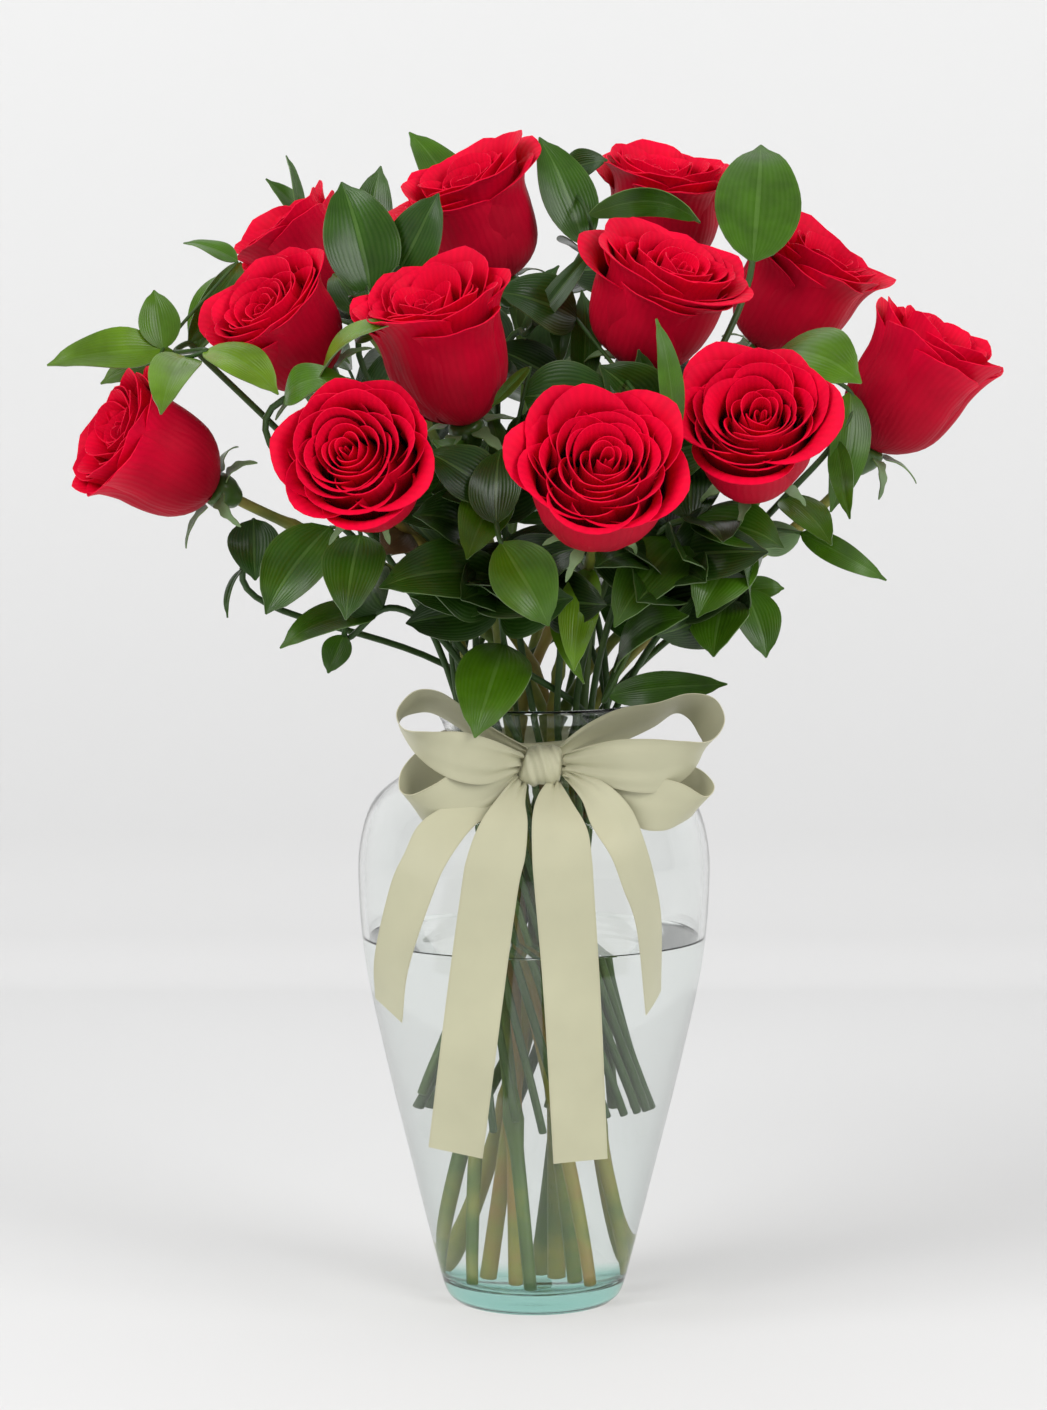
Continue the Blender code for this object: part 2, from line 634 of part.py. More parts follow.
def main():
    clear_scene()
    parts = new_collection("roses_in_a_vase")
    guides = new_collection("guides")
    petal_red = principled("rose_petal", (0.62, 0.004, 0.018), 0.45)
    stem_green = principled("rose_stem", (0.13, 0.20, 0.045), 0.5)
    leaf_green = principled("ruscus_leaf", (0.035, 0.13, 0.015), 0.35)
    satin = principled("ribbon_satin", (0.58, 0.57, 0.41), 0.4)

    make_vase(parts)
    stem_lines = []
    for number, rose in enumerate(ROSES, 1):
        waist = make_rose(number, rose, parts, guides, stem_green, petal_red)
        stem_lines.append((waist, STEM_FOOT, ROSE_STEM_RADIUS))
    for name, (slot, foot, leaves) in SPRIGS.items():
        sized = [(mm(base), mm(tip), width * 0.001, roll, arch) for base, tip, width, roll, arch in leaves]
        waist = make_sprig(name, slot, foot * 0.001, sized, FRONT_UP, parts, guides, leaf_green)
        stem_lines.append((waist, foot * 0.001, GREEN_STEM_RADIUS))
    for index, slot in enumerate(BACK_SLOTS):
        leaves, up = back_sprig_leaves(index)
        foot = BACK_FOOT + BACK_FOOT_STEP * (index % 3)
        waist = make_sprig(f"{index + 18:02d}", slot, foot, leaves, up, parts, guides, leaf_green)
        stem_lines.append((waist, foot, GREEN_STEM_RADIUS))
    make_water(parts, guides, stem_lines)
    make_bow(parts, guides, satin)


main()
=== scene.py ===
# %% [markdown]
# # Twelve red roses in a glass vase
# The real arrangement is a dozen long-stemmed roses with sprigs of ruscus, a shiny evergreen, in a
# clear urn-shaped vase of water, with a satin bow tied round its neck. The stems cross inside the
# vase like a twisted sheaf, which is what lets a bouquet stand up and spread.
#
# The plain solids of every piece come first. They are the frame: each fine piece made below takes
# its size and its place from the same layout, and stands for one of them.

# %% Load the frame
import math

import bpy
import numpy as np
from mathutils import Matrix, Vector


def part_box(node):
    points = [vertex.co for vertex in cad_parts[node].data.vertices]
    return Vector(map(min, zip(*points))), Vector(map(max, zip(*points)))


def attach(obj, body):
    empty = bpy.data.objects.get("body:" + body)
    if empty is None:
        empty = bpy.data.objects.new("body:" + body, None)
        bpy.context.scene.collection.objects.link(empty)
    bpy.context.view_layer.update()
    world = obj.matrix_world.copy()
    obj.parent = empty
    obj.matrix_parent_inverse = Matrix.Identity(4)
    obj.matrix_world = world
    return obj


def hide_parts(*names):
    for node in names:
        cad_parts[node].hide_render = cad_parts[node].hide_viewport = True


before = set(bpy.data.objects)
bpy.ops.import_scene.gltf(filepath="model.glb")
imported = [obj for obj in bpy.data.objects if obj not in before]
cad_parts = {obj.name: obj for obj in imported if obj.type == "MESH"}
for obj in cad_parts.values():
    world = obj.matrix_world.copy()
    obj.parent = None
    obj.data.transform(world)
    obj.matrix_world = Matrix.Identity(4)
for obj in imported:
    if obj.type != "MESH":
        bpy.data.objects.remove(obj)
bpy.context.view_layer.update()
vase_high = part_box("vase")[1]
water_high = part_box("water")[1]
print("frame:", len(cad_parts), "nodes, vase", round(vase_high.z * 1000), "mm high")

# %% [markdown]
# ## Camera
# A bouquet looks best from a little above its middle and through a long lens, so that the near roses
# don't look swollen. The camera stands 1.5 m in front and looks down by four and a half degrees.

# %% Camera
CAMERA_PLACE = (-0.0047, -1.5, 0.384)
CAMERA_TILT = math.radians(90 - 4.45)
CAMERA_LENS = 86.2

camera_data = bpy.data.cameras.new("camera")
camera_data.lens = CAMERA_LENS
camera_data.sensor_width = 36.0
camera = bpy.data.objects.new("camera", camera_data)
camera.location = CAMERA_PLACE
camera.rotation_euler = (CAMERA_TILT, 0.0, 0.0)
bpy.context.scene.collection.objects.link(camera)
bpy.context.scene.camera = camera
print("camera lens", CAMERA_LENS, "mm")

# %% [markdown]
# ## From arrays to meshes
# Petals, leaves and ribbon are all thin sheets. Each one is worked out as a grid of points: a
# function of how far across the sheet and how far along it. One helper gives a whole stack of such
# grids a thickness at once, by moving a copy to each side along the normal and closing the edge
# between the copies. Both parameters stay on the mesh as attributes, so that a material can put a
# vein where it belongs, or paint a highlight along a rim and shade at the base of a petal.


# %% Small helpers
def unit(v):
    """Each vector divided by its length."""
    v = np.asarray(v, float)
    return v / np.maximum(np.linalg.norm(v, axis=-1, keepdims=True), 1e-12)


def smoothstep(low, high, x):
    """0 below low, 1 above high, and 3t^2 - 2t^3 between them."""
    t = np.clip((np.asarray(x, float) - low) / (high - low), 0.0, 1.0)
    return t * t * (3.0 - 2.0 * t)


def smooth_line(points, count):
    """A Catmull-Rom curve through the points, read at count evenly spaced parameters."""
    points = np.asarray(points, float)
    ends = np.concatenate([[2 * points[0] - points[1]], points, [2 * points[-1] - points[-2]]])
    place = np.linspace(0, len(points) - 1, count)
    i = np.minimum(place.astype(int), len(points) - 2)
    t = (place - i)[:, None]
    p0, p1, p2, p3 = ends[i], ends[i + 1], ends[i + 2], ends[i + 3]
    curve = 2 * p1 + (p2 - p0) * t
    curve += (2 * p0 - 5 * p1 + 4 * p2 - p3) * t**2
    curve += (3 * p1 - p0 - 3 * p2 + p3) * t**3
    return 0.5 * curve


def bezier(start, start_pull, end_pull, end, count):
    """A cubic from start to end with two handles: s^3 a + 3 s^2 t b + 3 s t^2 c + t^3 d."""
    t = np.linspace(0, 1, count)[:, None]
    s = 1 - t
    return s**3 * start + 3 * s * s * t * start_pull + 3 * s * t * t * end_pull + t**3 * end


print("unit, smoothstep, smooth_line and bezier are ready")


# %% Mesh helpers
def mesh_piece(name, shape, material, node=None, sharp=1.0):
    """A piece that rides on the one body, from (points, four-cornered faces, attributes)."""
    points, faces, attributes = shape
    mesh = bpy.data.meshes.new(name)
    mesh.vertices.add(len(points))
    mesh.vertices.foreach_set("co", np.ascontiguousarray(points, np.float32).ravel())
    mesh.loops.add(faces.size)
    mesh.loops.foreach_set("vertex_index", np.ascontiguousarray(faces, np.int32).ravel())
    mesh.polygons.add(len(faces))
    mesh.polygons.foreach_set("loop_start", np.arange(0, faces.size, 4, dtype=np.int32))
    mesh.update(calc_edges=True)
    for key, values in attributes.items():
        layer = mesh.attributes.new(key, "FLOAT", "POINT")
        layer.data.foreach_set("value", np.ascontiguousarray(values, np.float32).ravel())
    mesh.shade_smooth()
    mesh.set_sharp_from_angle(angle=sharp)
    mesh.materials.append(material)
    piece = bpy.data.objects.new(name, mesh)
    bpy.context.scene.collection.objects.link(piece)
    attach(piece, "root")
    if node:
        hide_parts(node)
    return piece


def sheets(grids, thickness, extra=None):
    """Thin closed shells from a stack of grids, indexed (sheet, row along, column across, xyz).

    The normal is the cross product of the across and along steps. The front is the grid moved half
    the thickness along it, the back the same the other way, and a ring of faces closes the edge.
    """
    count, rows, columns, _ = grids.shape
    normal = unit(np.cross(np.gradient(grids, axis=2), np.gradient(grids, axis=1)))
    half = np.broadcast_to(thickness, (count, rows, columns))[..., None] / 2
    points = np.concatenate([(grids + normal * half).reshape(-1, 3),
                             (grids - normal * half).reshape(-1, 3)])
    index = np.arange(count * rows * columns).reshape(count, rows, columns)
    front = np.stack([index[:, :-1, :-1], index[:, :-1, 1:], index[:, 1:, 1:], index[:, 1:, :-1]], -1)
    front = front.reshape(-1, 4)
    loop = np.concatenate([index[:, 0, :], index[:, 1:, -1], index[:, -1, -2::-1],
                           index[:, -2:0:-1, 0]], axis=1)
    after = np.roll(loop, -1, axis=1)
    edge = np.stack([loop, loop + index.size, after + index.size, after], -1).reshape(-1, 4)
    faces = np.concatenate([front, front[:, ::-1] + index.size, edge])
    values = {"across": np.linspace(-1, 1, columns)[None, None, :],
              "along": np.linspace(0, 1, rows)[None, :, None]}
    values.update(extra or {})
    attributes = {key: np.tile(np.broadcast_to(value, (count, rows, columns)).ravel(), 2)
                  for key, value in values.items()}
    attributes["front"] = np.repeat([1.0, 0.0], index.size)
    return points, faces, attributes


def merged(shapes):
    """Several shapes as one: later faces count on from the points before them."""
    starts = np.cumsum([0] + [len(shape[0]) for shape in shapes[:-1]])
    points = np.concatenate([shape[0] for shape in shapes])
    faces = np.concatenate([shape[1] + start for shape, start in zip(shapes, starts)])
    keys = sorted(set().union(*(shape[2] for shape in shapes)))
    attributes = {key: np.concatenate([shape[2].get(key, np.zeros(len(shape[0])))
                                       for shape in shapes]) for key in keys}
    return points, faces, attributes


def disc(ring):
    """Four-cornered faces that fill a ring of points counted anticlockwise."""
    fan = np.arange(len(ring) // 2 - 1)
    return np.stack([ring[fan], ring[fan + 1], ring[-2 - fan], ring[-1 - fan]], -1)


def ring_faces(index):
    """Faces between neighbouring closed rings, then the two end discs."""
    after = np.roll(index, -1, axis=1)
    sides = np.stack([index[:-1], after[:-1], after[1:], index[1:]], -1).reshape(-1, 4)
    return np.concatenate([sides, disc(index[0])[:, ::-1], disc(index[-1])])


def tube(path, radius, sides, extra):
    """A round bar along a path, with rounded ends.

    Ring i is path[i] + r (cos a * e1 + sin a * e2), where e1 is carried along without twisting.
    """
    path = np.asarray(path, float)
    radius = np.broadcast_to(np.asarray(radius, float), len(path))
    tangent = unit(np.gradient(path, axis=0))
    first = path[0] - tangent[0] * radius[0] * 0.3
    last = path[-1] + tangent[-1] * radius[-1] * 0.3
    path = np.concatenate([[first], path, [last]])
    radius = np.concatenate([[radius[0] * 0.6], radius, [radius[-1] * 0.6]])
    tangent = np.concatenate([tangent[:1], tangent, tangent[-1:]])
    carried = [unit(np.cross(tangent[0], [0.31, 0.87, 0.38]))]
    for step in tangent[1:]:
        carried.append(unit(carried[-1] - step * (carried[-1] @ step)))
    e1 = np.array(carried)[:, None]
    e2 = np.cross(tangent[:, None], e1)
    angle = np.linspace(0, 2 * np.pi, sides, endpoint=False)[None, :, None]
    rings = path[:, None] + (np.cos(angle) * e1 + np.sin(angle) * e2) * radius[:, None, None]
    index = np.arange(len(path) * sides).reshape(len(path), sides)
    run = np.concatenate([[0], np.cumsum(np.linalg.norm(np.diff(path, axis=0), axis=1))])
    attributes = {"along": np.repeat(run, sides), "front": np.ones(len(path) * sides)}
    attributes.update({key: np.full(len(path) * sides, value) for key, value in extra.items()})
    return rings.reshape(-1, 3), ring_faces(index), attributes


def turned(outline, steps=128):
    """A solid of revolution. Point (i, j) is (r_i cos a_j, r_i sin a_j, z_i).

    The outline runs from the axis at the top, out and down, and back to the axis, and its two ends
    close on rings too small to see.
    """
    outline = np.asarray(outline, float)
    radius = np.maximum(outline[:, :1], 2e-5)
    angle = np.linspace(0, 2 * np.pi, steps, endpoint=False)[None, :]
    height = np.broadcast_to(outline[:, 1:], (len(outline), steps))
    rings = np.stack([radius * np.cos(angle), radius * np.sin(angle), height], -1)
    index = np.arange(len(outline) * steps).reshape(len(outline), steps)
    faces = ring_faces(index[::-1])
    return rings.reshape(-1, 3), faces, {}


print("sheets, merged, tube and turned are ready")

# %% [markdown]
# ## Surface effects shared by several finishes
# Plants are never one flat colour. Two node groups carry what several finishes need: soft colour
# drift over a piece, and fine parallel lines that follow the sheet. Each is built once, has named
# inputs and outputs, and gives only a colour or a height.


# %% Node helpers
def new_group(name, inputs, outputs):
    """An empty shader node group with the named sockets, and its input and output nodes."""
    group = bpy.data.node_groups.new(name, "ShaderNodeTree")
    for label, kind, value in inputs:
        socket = group.interface.new_socket(label, in_out="INPUT", socket_type=kind)
        if value is not None:
            socket.default_value = value
    for label, kind in outputs:
        group.interface.new_socket(label, in_out="OUTPUT", socket_type=kind)
    return group, group.nodes.new("NodeGroupInput"), group.nodes.new("NodeGroupOutput")


def math_node(tree, operation, first, second=0.0):
    """A Math node; each operand is a socket or a number."""
    node = tree.nodes.new("ShaderNodeMath")
    node.operation = operation
    for place, value in enumerate((first, second)):
        if isinstance(value, (int, float)):
            node.inputs[place].default_value = value
        else:
            tree.links.new(value, node.inputs[place])
    return node.outputs[0]


def mix_colour(tree, factor, first, second):
    """A colour Mix node; each colour is a socket or three numbers."""
    node = tree.nodes.new("ShaderNodeMix")
    node.data_type = "RGBA"
    for socket, value in ((node.inputs[0], factor), (node.inputs[6], first), (node.inputs[7], second)):
        if isinstance(value, (int, float)):
            socket.default_value = value
        elif isinstance(value, tuple):
            socket.default_value = (*value, 1.0)
        else:
            tree.links.new(value, socket)
    return node.outputs[2]


def ramp(tree, factor, stops):
    """A colour ramp from (position, colour) stops."""
    node = tree.nodes.new("ShaderNodeValToRGB")
    while len(node.color_ramp.elements) < len(stops):
        node.color_ramp.elements.new(0.5)
    for element, (position, colour) in zip(node.color_ramp.elements, stops):
        element.position = position
        element.color = (*colour, 1.0)
    tree.links.new(factor, node.inputs[0])
    return node.outputs[0]


def attribute(tree, name):
    """A number that the mesh carries at each point, read by its name."""
    node = tree.nodes.new("ShaderNodeAttribute")
    node.attribute_name = name
    return node.outputs["Fac"]


def object_noise(tree, scale, detail=3.0, stretch=(1.0, 1.0, 1.0)):
    """Noise on Object coordinates, as a value from 0 to 1."""
    place = tree.nodes.new("ShaderNodeTexCoord").outputs["Object"]
    mapping = tree.nodes.new("ShaderNodeMapping")
    mapping.inputs["Scale"].default_value = stretch
    tree.links.new(place, mapping.inputs["Vector"])
    noise = tree.nodes.new("ShaderNodeTexNoise")
    noise.inputs["Scale"].default_value = scale
    noise.inputs["Detail"].default_value = detail
    tree.links.new(mapping.outputs[0], noise.inputs["Vector"])
    return noise.outputs["Fac"]


def principled(name, **values):
    """A material, its node tree and its Principled shader with the constant sockets set."""
    material = bpy.data.materials.new(name)
    material.use_nodes = True
    tree = material.node_tree
    shader = tree.nodes["Principled BSDF"]
    for key, value in values.items():
        socket = shader.inputs[key.replace("_", " ")]
        socket.default_value = (*value, 1.0) if isinstance(value, tuple) else value
    return material, tree, shader


def put_bump(tree, shader, height, distance, strength):
    """A bump of the given height in metres, from a socket with values from 0 to 1."""
    bump = tree.nodes.new("ShaderNodeBump")
    bump.inputs["Distance"].default_value = distance
    bump.inputs["Strength"].default_value = strength
    tree.links.new(height, bump.inputs["Height"])
    tree.links.new(bump.outputs[0], shader.inputs["Normal"])


def use_group(tree, group, **values):
    """The group placed in a material, with each named input a number, a colour or a socket."""
    node = tree.nodes.new("ShaderNodeGroup")
    node.node_tree = group
    for key, value in values.items():
        socket = node.inputs[key.replace("_", " ")]
        if isinstance(value, (int, float)):
            socket.default_value = value
        elif isinstance(value, tuple):
            socket.default_value = (*value, 1.0)
        else:
            tree.links.new(value, socket)
    return node


print("node helpers are ready")

# %% Group: colour drift
drift, drift_in, drift_out = new_group(
    "colour drift",
    [("Colour", "NodeSocketColor", None), ("Scale", "NodeSocketFloat", 40.0),
     ("Darker", "NodeSocketFloat", 0.75), ("Lighter", "NodeSocketFloat", 1.2)],
    [("Colour", "NodeSocketColor")])
drift_place = drift.nodes.new("ShaderNodeTexCoord")
drift_noise = drift.nodes.new("ShaderNodeTexNoise")
drift_noise.inputs["Detail"].default_value = 4.0
drift.links.new(drift_place.outputs["Object"], drift_noise.inputs["Vector"])
drift.links.new(drift_in.outputs["Scale"], drift_noise.inputs["Scale"])
drift_range = drift.nodes.new("ShaderNodeMapRange")
drift_range.inputs["From Min"].default_value = 0.3
drift_range.inputs["From Max"].default_value = 0.7
drift.links.new(drift_noise.outputs["Fac"], drift_range.inputs["Value"])
drift.links.new(drift_in.outputs["Darker"], drift_range.inputs["To Min"])
drift.links.new(drift_in.outputs["Lighter"], drift_range.inputs["To Max"])
drift_gain = drift.nodes.new("ShaderNodeVectorMath")
drift_gain.operation = "SCALE"
drift.links.new(drift_in.outputs["Colour"], drift_gain.inputs[0])
drift.links.new(drift_range.outputs["Result"], drift_gain.inputs["Scale"])
drift.links.new(drift_gain.outputs["Vector"], drift_out.inputs["Colour"])
print("group:", drift.name)

# %% Group: fine lines that run along a sheet
lines, lines_in, lines_out = new_group(
    "fine lines",
    [("Across", "NodeSocketFloat", 0.0), ("Along", "NodeSocketFloat", 0.0),
     ("Count", "NodeSocketFloat", 10.0), ("Wander", "NodeSocketFloat", 0.4)],
    [("Height", "NodeSocketFloat")])
lines_place = lines.nodes.new("ShaderNodeTexCoord")
lines_noise = lines.nodes.new("ShaderNodeTexNoise")
lines_noise.inputs["Scale"].default_value = 90.0
lines.links.new(lines_place.outputs["Object"], lines_noise.inputs["Vector"])
lines_shift = math_node(lines, "MULTIPLY", lines_noise.outputs["Fac"], lines_in.outputs["Wander"])
lines_angle = math_node(lines, "MULTIPLY", lines_in.outputs["Across"], lines_in.outputs["Count"])
lines_angle = math_node(lines, "ADD", lines_angle, lines_shift)
lines_angle = math_node(lines, "MULTIPLY", lines_angle, 2 * math.pi)
lines_wave = math_node(lines, "SINE", lines_angle)
lines_half = math_node(lines, "MULTIPLY", lines_wave, 0.5)
lines.links.new(math_node(lines, "ADD", lines_half, 0.5), lines_out.inputs["Height"])
print("group:", lines.name)

# %% [markdown]
# ## Floor, backdrop and light
# The vase stands on a pale matt table whose far edge curves up softly into a pale wall. The sweep is
# one profile pulled sideways. The wall shows only its front, so that the bouquet can be looked at
# from behind as well. The light is a large soft window up on the left, a slightly weaker one on the
# right, and a bright room all round.

# %% Stage
WALL_PLACE = 0.944
SWEEP_RADIUS = 0.10
STAGE_HALF_WIDTH = 4.0
TABLE_FRONT = -4.5
WALL_TOP = 4.0

sweep_angle = np.linspace(0, math.pi / 2, 13)
sweep = np.stack([WALL_PLACE - SWEEP_RADIUS + SWEEP_RADIUS * np.sin(sweep_angle),
                  SWEEP_RADIUS - SWEEP_RADIUS * np.cos(sweep_angle)], -1)
stage_line = np.concatenate([[[TABLE_FRONT, 0.0]], sweep, [[WALL_PLACE, WALL_TOP]]])
stage_grid = np.zeros((len(stage_line), 2, 3))
stage_grid[:, 0, 0] = -STAGE_HALF_WIDTH
stage_grid[:, 1, 0] = STAGE_HALF_WIDTH
stage_grid[:, :, 1:] = stage_line[:, None]
stage_mesh = bpy.data.meshes.new("table_and_wall")
stage_index = np.arange(len(stage_line) * 2).reshape(-1, 2)
stage_faces = np.stack([stage_index[:-1, 0], stage_index[:-1, 1], stage_index[1:, 1],
                        stage_index[1:, 0]], -1)
stage_mesh.from_pydata(stage_grid.reshape(-1, 3), [], stage_faces.tolist())
stage_mesh.shade_smooth()
table_and_wall = bpy.data.objects.new("table_and_wall", stage_mesh)
bpy.context.scene.collection.objects.link(table_and_wall)

pale_paint, pale_tree, pale_shader = principled("pale_paint", Roughness=0.75)
pale_place = pale_tree.nodes.new("ShaderNodeTexCoord")
pale_height = pale_tree.nodes.new("ShaderNodeSeparateXYZ")
pale_tree.links.new(pale_place.outputs["Object"], pale_height.inputs[0])
# Painted shade: the colour is darkest in the bend where the table meets the wall, stays a little dark up the
# lower wall and is palest high up, as if less light reached the low wall.
pale_with_painted_shade = ramp(pale_tree, pale_height.outputs["Z"], [
    (0.0, (0.785, 0.785, 0.785)), (0.03, (0.700, 0.700, 0.700)), (0.35, (0.745, 0.745, 0.745)),
    (0.9, (0.800, 0.802, 0.800))])
pale_tree.links.new(pale_with_painted_shade, pale_shader.inputs["Base Color"])
pale_clear = pale_tree.nodes.new("ShaderNodeBsdfTransparent")
pale_side = pale_tree.nodes.new("ShaderNodeNewGeometry")
pale_mix = pale_tree.nodes.new("ShaderNodeMixShader")
pale_tree.links.new(pale_side.outputs["Backfacing"], pale_mix.inputs[0])
pale_tree.links.new(pale_shader.outputs[0], pale_mix.inputs[1])
pale_tree.links.new(pale_clear.outputs[0], pale_mix.inputs[2])
pale_tree.links.new(pale_mix.outputs[0], pale_tree.nodes["Material Output"].inputs[0])
stage_mesh.materials.append(pale_paint)
print("stage:", len(stage_faces), "faces")


# %% Light
def soft_window(name, place, target, width, height, power):
    """An area lamp at a place, turned to shine at a target. It isn't seen itself."""
    data = bpy.data.lights.new(name, "AREA")
    data.shape = "RECTANGLE"
    data.size = width
    data.size_y = height
    data.energy = power
    lamp = bpy.data.objects.new(name, data)
    lamp.location = place
    away = unit(np.subtract(place, target))
    side = unit(np.cross([0.0, 0.0, 1.0], away))
    up = np.cross(away, side)
    turn = np.eye(4)
    turn[:3, 0], turn[:3, 1], turn[:3, 2], turn[:3, 3] = side, up, away, place
    lamp.matrix_world = turn.T.tolist()
    lamp.visible_camera = False
    lamp.visible_transmission = False   # water would bend it into a hard white shape
    bpy.context.scene.collection.objects.link(lamp)


ROOM_LIGHT = 0.60
ROOM_GLOSS = 0.24   # how bright the room is in reflections: a studio's far walls are dim
# name, place, the point it shines at, width, height and power in watts
WINDOWS = [
    ("window_left", (-1.5, -1.3, 1.9), (0.0, 0.0, 0.35), 1.4, 1.4, 33.0),
    ("window_right", (1.7, -1.5, 1.5), (0.0, 0.0, 0.3), 1.2, 1.4, 27.0),
]
for window in WINDOWS:
    soft_window(*window)
room = bpy.data.worlds.new("pale room")
room.use_nodes = True
room_tree = room.node_tree
room_tree.nodes["Background"].inputs["Color"].default_value = (1.0, 1.0, 1.0, 1.0)
room_rays = room_tree.nodes.new("ShaderNodeLightPath")
room_strength = room_tree.nodes.new("ShaderNodeMapRange")
room_strength.inputs["To Min"].default_value = ROOM_LIGHT
room_strength.inputs["To Max"].default_value = ROOM_GLOSS
room_tree.links.new(room_rays.outputs["Is Glossy Ray"], room_strength.inputs["Value"])
room_tree.links.new(room_strength.outputs[0], room_tree.nodes["Background"].inputs["Strength"])
bpy.context.scene.world = room
bpy.context.scene.view_settings.view_transform = "Standard"
print("room light", ROOM_LIGHT)

# %% [markdown]
# ## Vase
# A pressed glass urn is turned: one outline swept round an upright axis. Its wall is 3 mm thick and
# its foot 9 mm, and the thick glass of the foot gathers a sea-green tint, which is why the foot looks
# coloured while the wall looks clear. The outline's few points become a smooth curve first.

# %% Vase
GLASS = 0.003
GLASS_FLOOR = 0.009
WATER_LEVEL = water_high.z
VASE_OUTSIDE = [
    (0.0360, 0.0000), (0.0400, 0.0050), (0.0450, 0.0230), (0.0556, 0.0650), (0.0665, 0.1100),
    (0.0755, 0.1530), (0.0785, 0.1900), (0.0770, 0.2100), (0.0715, 0.2250), (0.0600, 0.2350),
    (0.0480, 0.2392), (0.0415, 0.2435), (0.0380, 0.2480), (0.0384, 0.2520), (0.0412, 0.2600),
    (0.0450, 0.2665), (0.0446, 0.2680),
]

outside = smooth_line(VASE_OUTSIDE, 110)
inside = smooth_line([(radius - GLASS, height) for radius, height in VASE_OUTSIDE[2:-1]], 90)
glass_floor = [(0.0, GLASS_FLOOR), (0.030, GLASS_FLOOR + 0.0004), (0.0372, GLASS_FLOOR + 0.0022),
               (0.0402, 0.0145)]
rim = [(0.0428, 0.2676), (0.0437, 0.2680)]
foot = [(0.0345, 0.0), (0.0325, 0.0012), (0.0, 0.0016)]
vase_outline = np.concatenate([glass_floor, inside, rim, outside[::-1], foot])

clear_glass, glass_tree, glass_shader = principled(
    "clear_glass", Base_Color=(0.965, 0.980, 0.975), Roughness=0.0, IOR=1.45, Transmission_Weight=1.0)
glass_streak = object_noise(glass_tree, 14.0, 2.0, (1.0, 1.0, 0.35))
put_bump(glass_tree, glass_shader, glass_streak, 0.0006, 0.25)
glass_height = glass_tree.nodes.new("ShaderNodeSeparateXYZ")
glass_place = glass_tree.nodes.new("ShaderNodeTexCoord")
glass_tree.links.new(glass_place.outputs["Object"], glass_height.inputs[0])
glass_colour = ramp(glass_tree, math_node(glass_tree, "MULTIPLY", glass_height.outputs["Z"], 10.0), [
    (0.0, (0.28, 0.62, 0.55)), (0.10, (0.45, 0.75, 0.68)), (0.17, (0.93, 0.96, 0.95)),
    (1.0, (0.965, 0.980, 0.972))])
glass_tree.links.new(glass_colour, glass_shader.inputs["Base Color"])
vase = mesh_piece("vase_glass", turned(vase_outline), clear_glass, "vase")
print("vase:", len(vase.data.polygons), "faces")

# %% [markdown]
# ## Water
# Water wets glass, so its surface climbs the wall in a small curve, the meniscus. The body of water
# reaches a hair into the glass wall. A ray then goes from glass straight into water, as it does in a
# real vase, where a gap of air would show as a silver skin.

# %% Water
WATER_SINK = 0.0004
MENISCUS_RISE = 0.0012
MENISCUS_WIDTH = 0.004

wet = inside[inside[:, 1] < WATER_LEVEL]
wall_radius = float(np.interp(WATER_LEVEL, inside[:, 1], inside[:, 0]))
climb = np.linspace(0, 1, 8)
surface = np.stack([wall_radius - MENISCUS_WIDTH + (MENISCUS_WIDTH + WATER_SINK) * climb,
                    WATER_LEVEL - MENISCUS_RISE + MENISCUS_RISE * climb**3], -1)
water_floor = np.array(glass_floor[::-1]) + [0.0, -WATER_SINK]
water_middle = [(0.0, WATER_LEVEL - MENISCUS_RISE)]
water_wall = wet[::-1] + [WATER_SINK, 0.0]
water_outline = np.concatenate([water_middle, surface, water_wall, water_floor])
clear_water, water_tree, water_shader = principled(
    "clear_water", Base_Color=(0.985, 0.997, 0.995), Roughness=0.0, IOR=1.33, Transmission_Weight=1.0)
put_bump(water_tree, water_shader, object_noise(water_tree, 30.0, 2.0), 0.0002, 0.15)
water_tint = use_group(water_tree, drift, Colour=(0.968, 0.980, 0.975), Scale=12.0, Darker=0.99, Lighter=1.0)
water_tree.links.new(water_tint.outputs[0], water_shader.inputs["Base Color"])
water = mesh_piece("vase_water", turned(water_outline), clear_water, "water")
for clear_piece in (vase, water):
    clear_piece.visible_shadow = False
    clear_piece.visible_diffuse = False
print("water line at", round(WATER_LEVEL * 1000), "mm")

# %% [markdown]
# ## Where the stems go
# Twelve rose stems and twenty-three ruscus stems share one narrow neck. Two rings of roses and an
# outer ring of greens each take their own slots there. Below the neck the whole bunch turns like a
# twisted rope and opens a little, so no two stems meet, and above it each stem bends off to its own
# bloom or first leaf. These are the same rules that the plain solids follow.

# %% Stem layout
NECK_HEIGHT = 0.246
STEM_FOOT = 0.012
TWIST = math.radians(110)
ROSE_SPREAD, GREEN_SPREAD = 1.6, 2.0
INNER_RING, OUTER_RING, GREEN_RING = 0.0100, 0.0215, 0.0310
ROSE_SLOTS, GREEN_SLOTS = 12, 24
OPEN_SECTOR = math.radians(34)
ROSE_STEM_RADIUS = 0.00275
GREEN_STEM_RADIUS = 0.0017
STEM_LOW_ROWS, STEM_HIGH_ROWS = 13, 20


def waist_point(ring, angle):
    """A place in the neck, on a ring round its middle."""
    return np.array([ring * math.cos(angle), ring * math.sin(angle), NECK_HEIGHT])


def rose_waist(slot):
    """Four roses go through the inner ring and eight through the outer one."""
    if slot < 4:
        return waist_point(INNER_RING, math.radians(45 + 90 * slot))
    return waist_point(OUTER_RING, math.radians(22.5 + 45 * (slot - 4)))


def green_waist(slot):
    """The greens share the widest ring, and leave a sector open at the back."""
    step = (2 * math.pi - OPEN_SECTOR) / (GREEN_SLOTS - 1)
    return waist_point(GREEN_RING, math.pi / 2 + OPEN_SECTOR / 2 + step * slot)


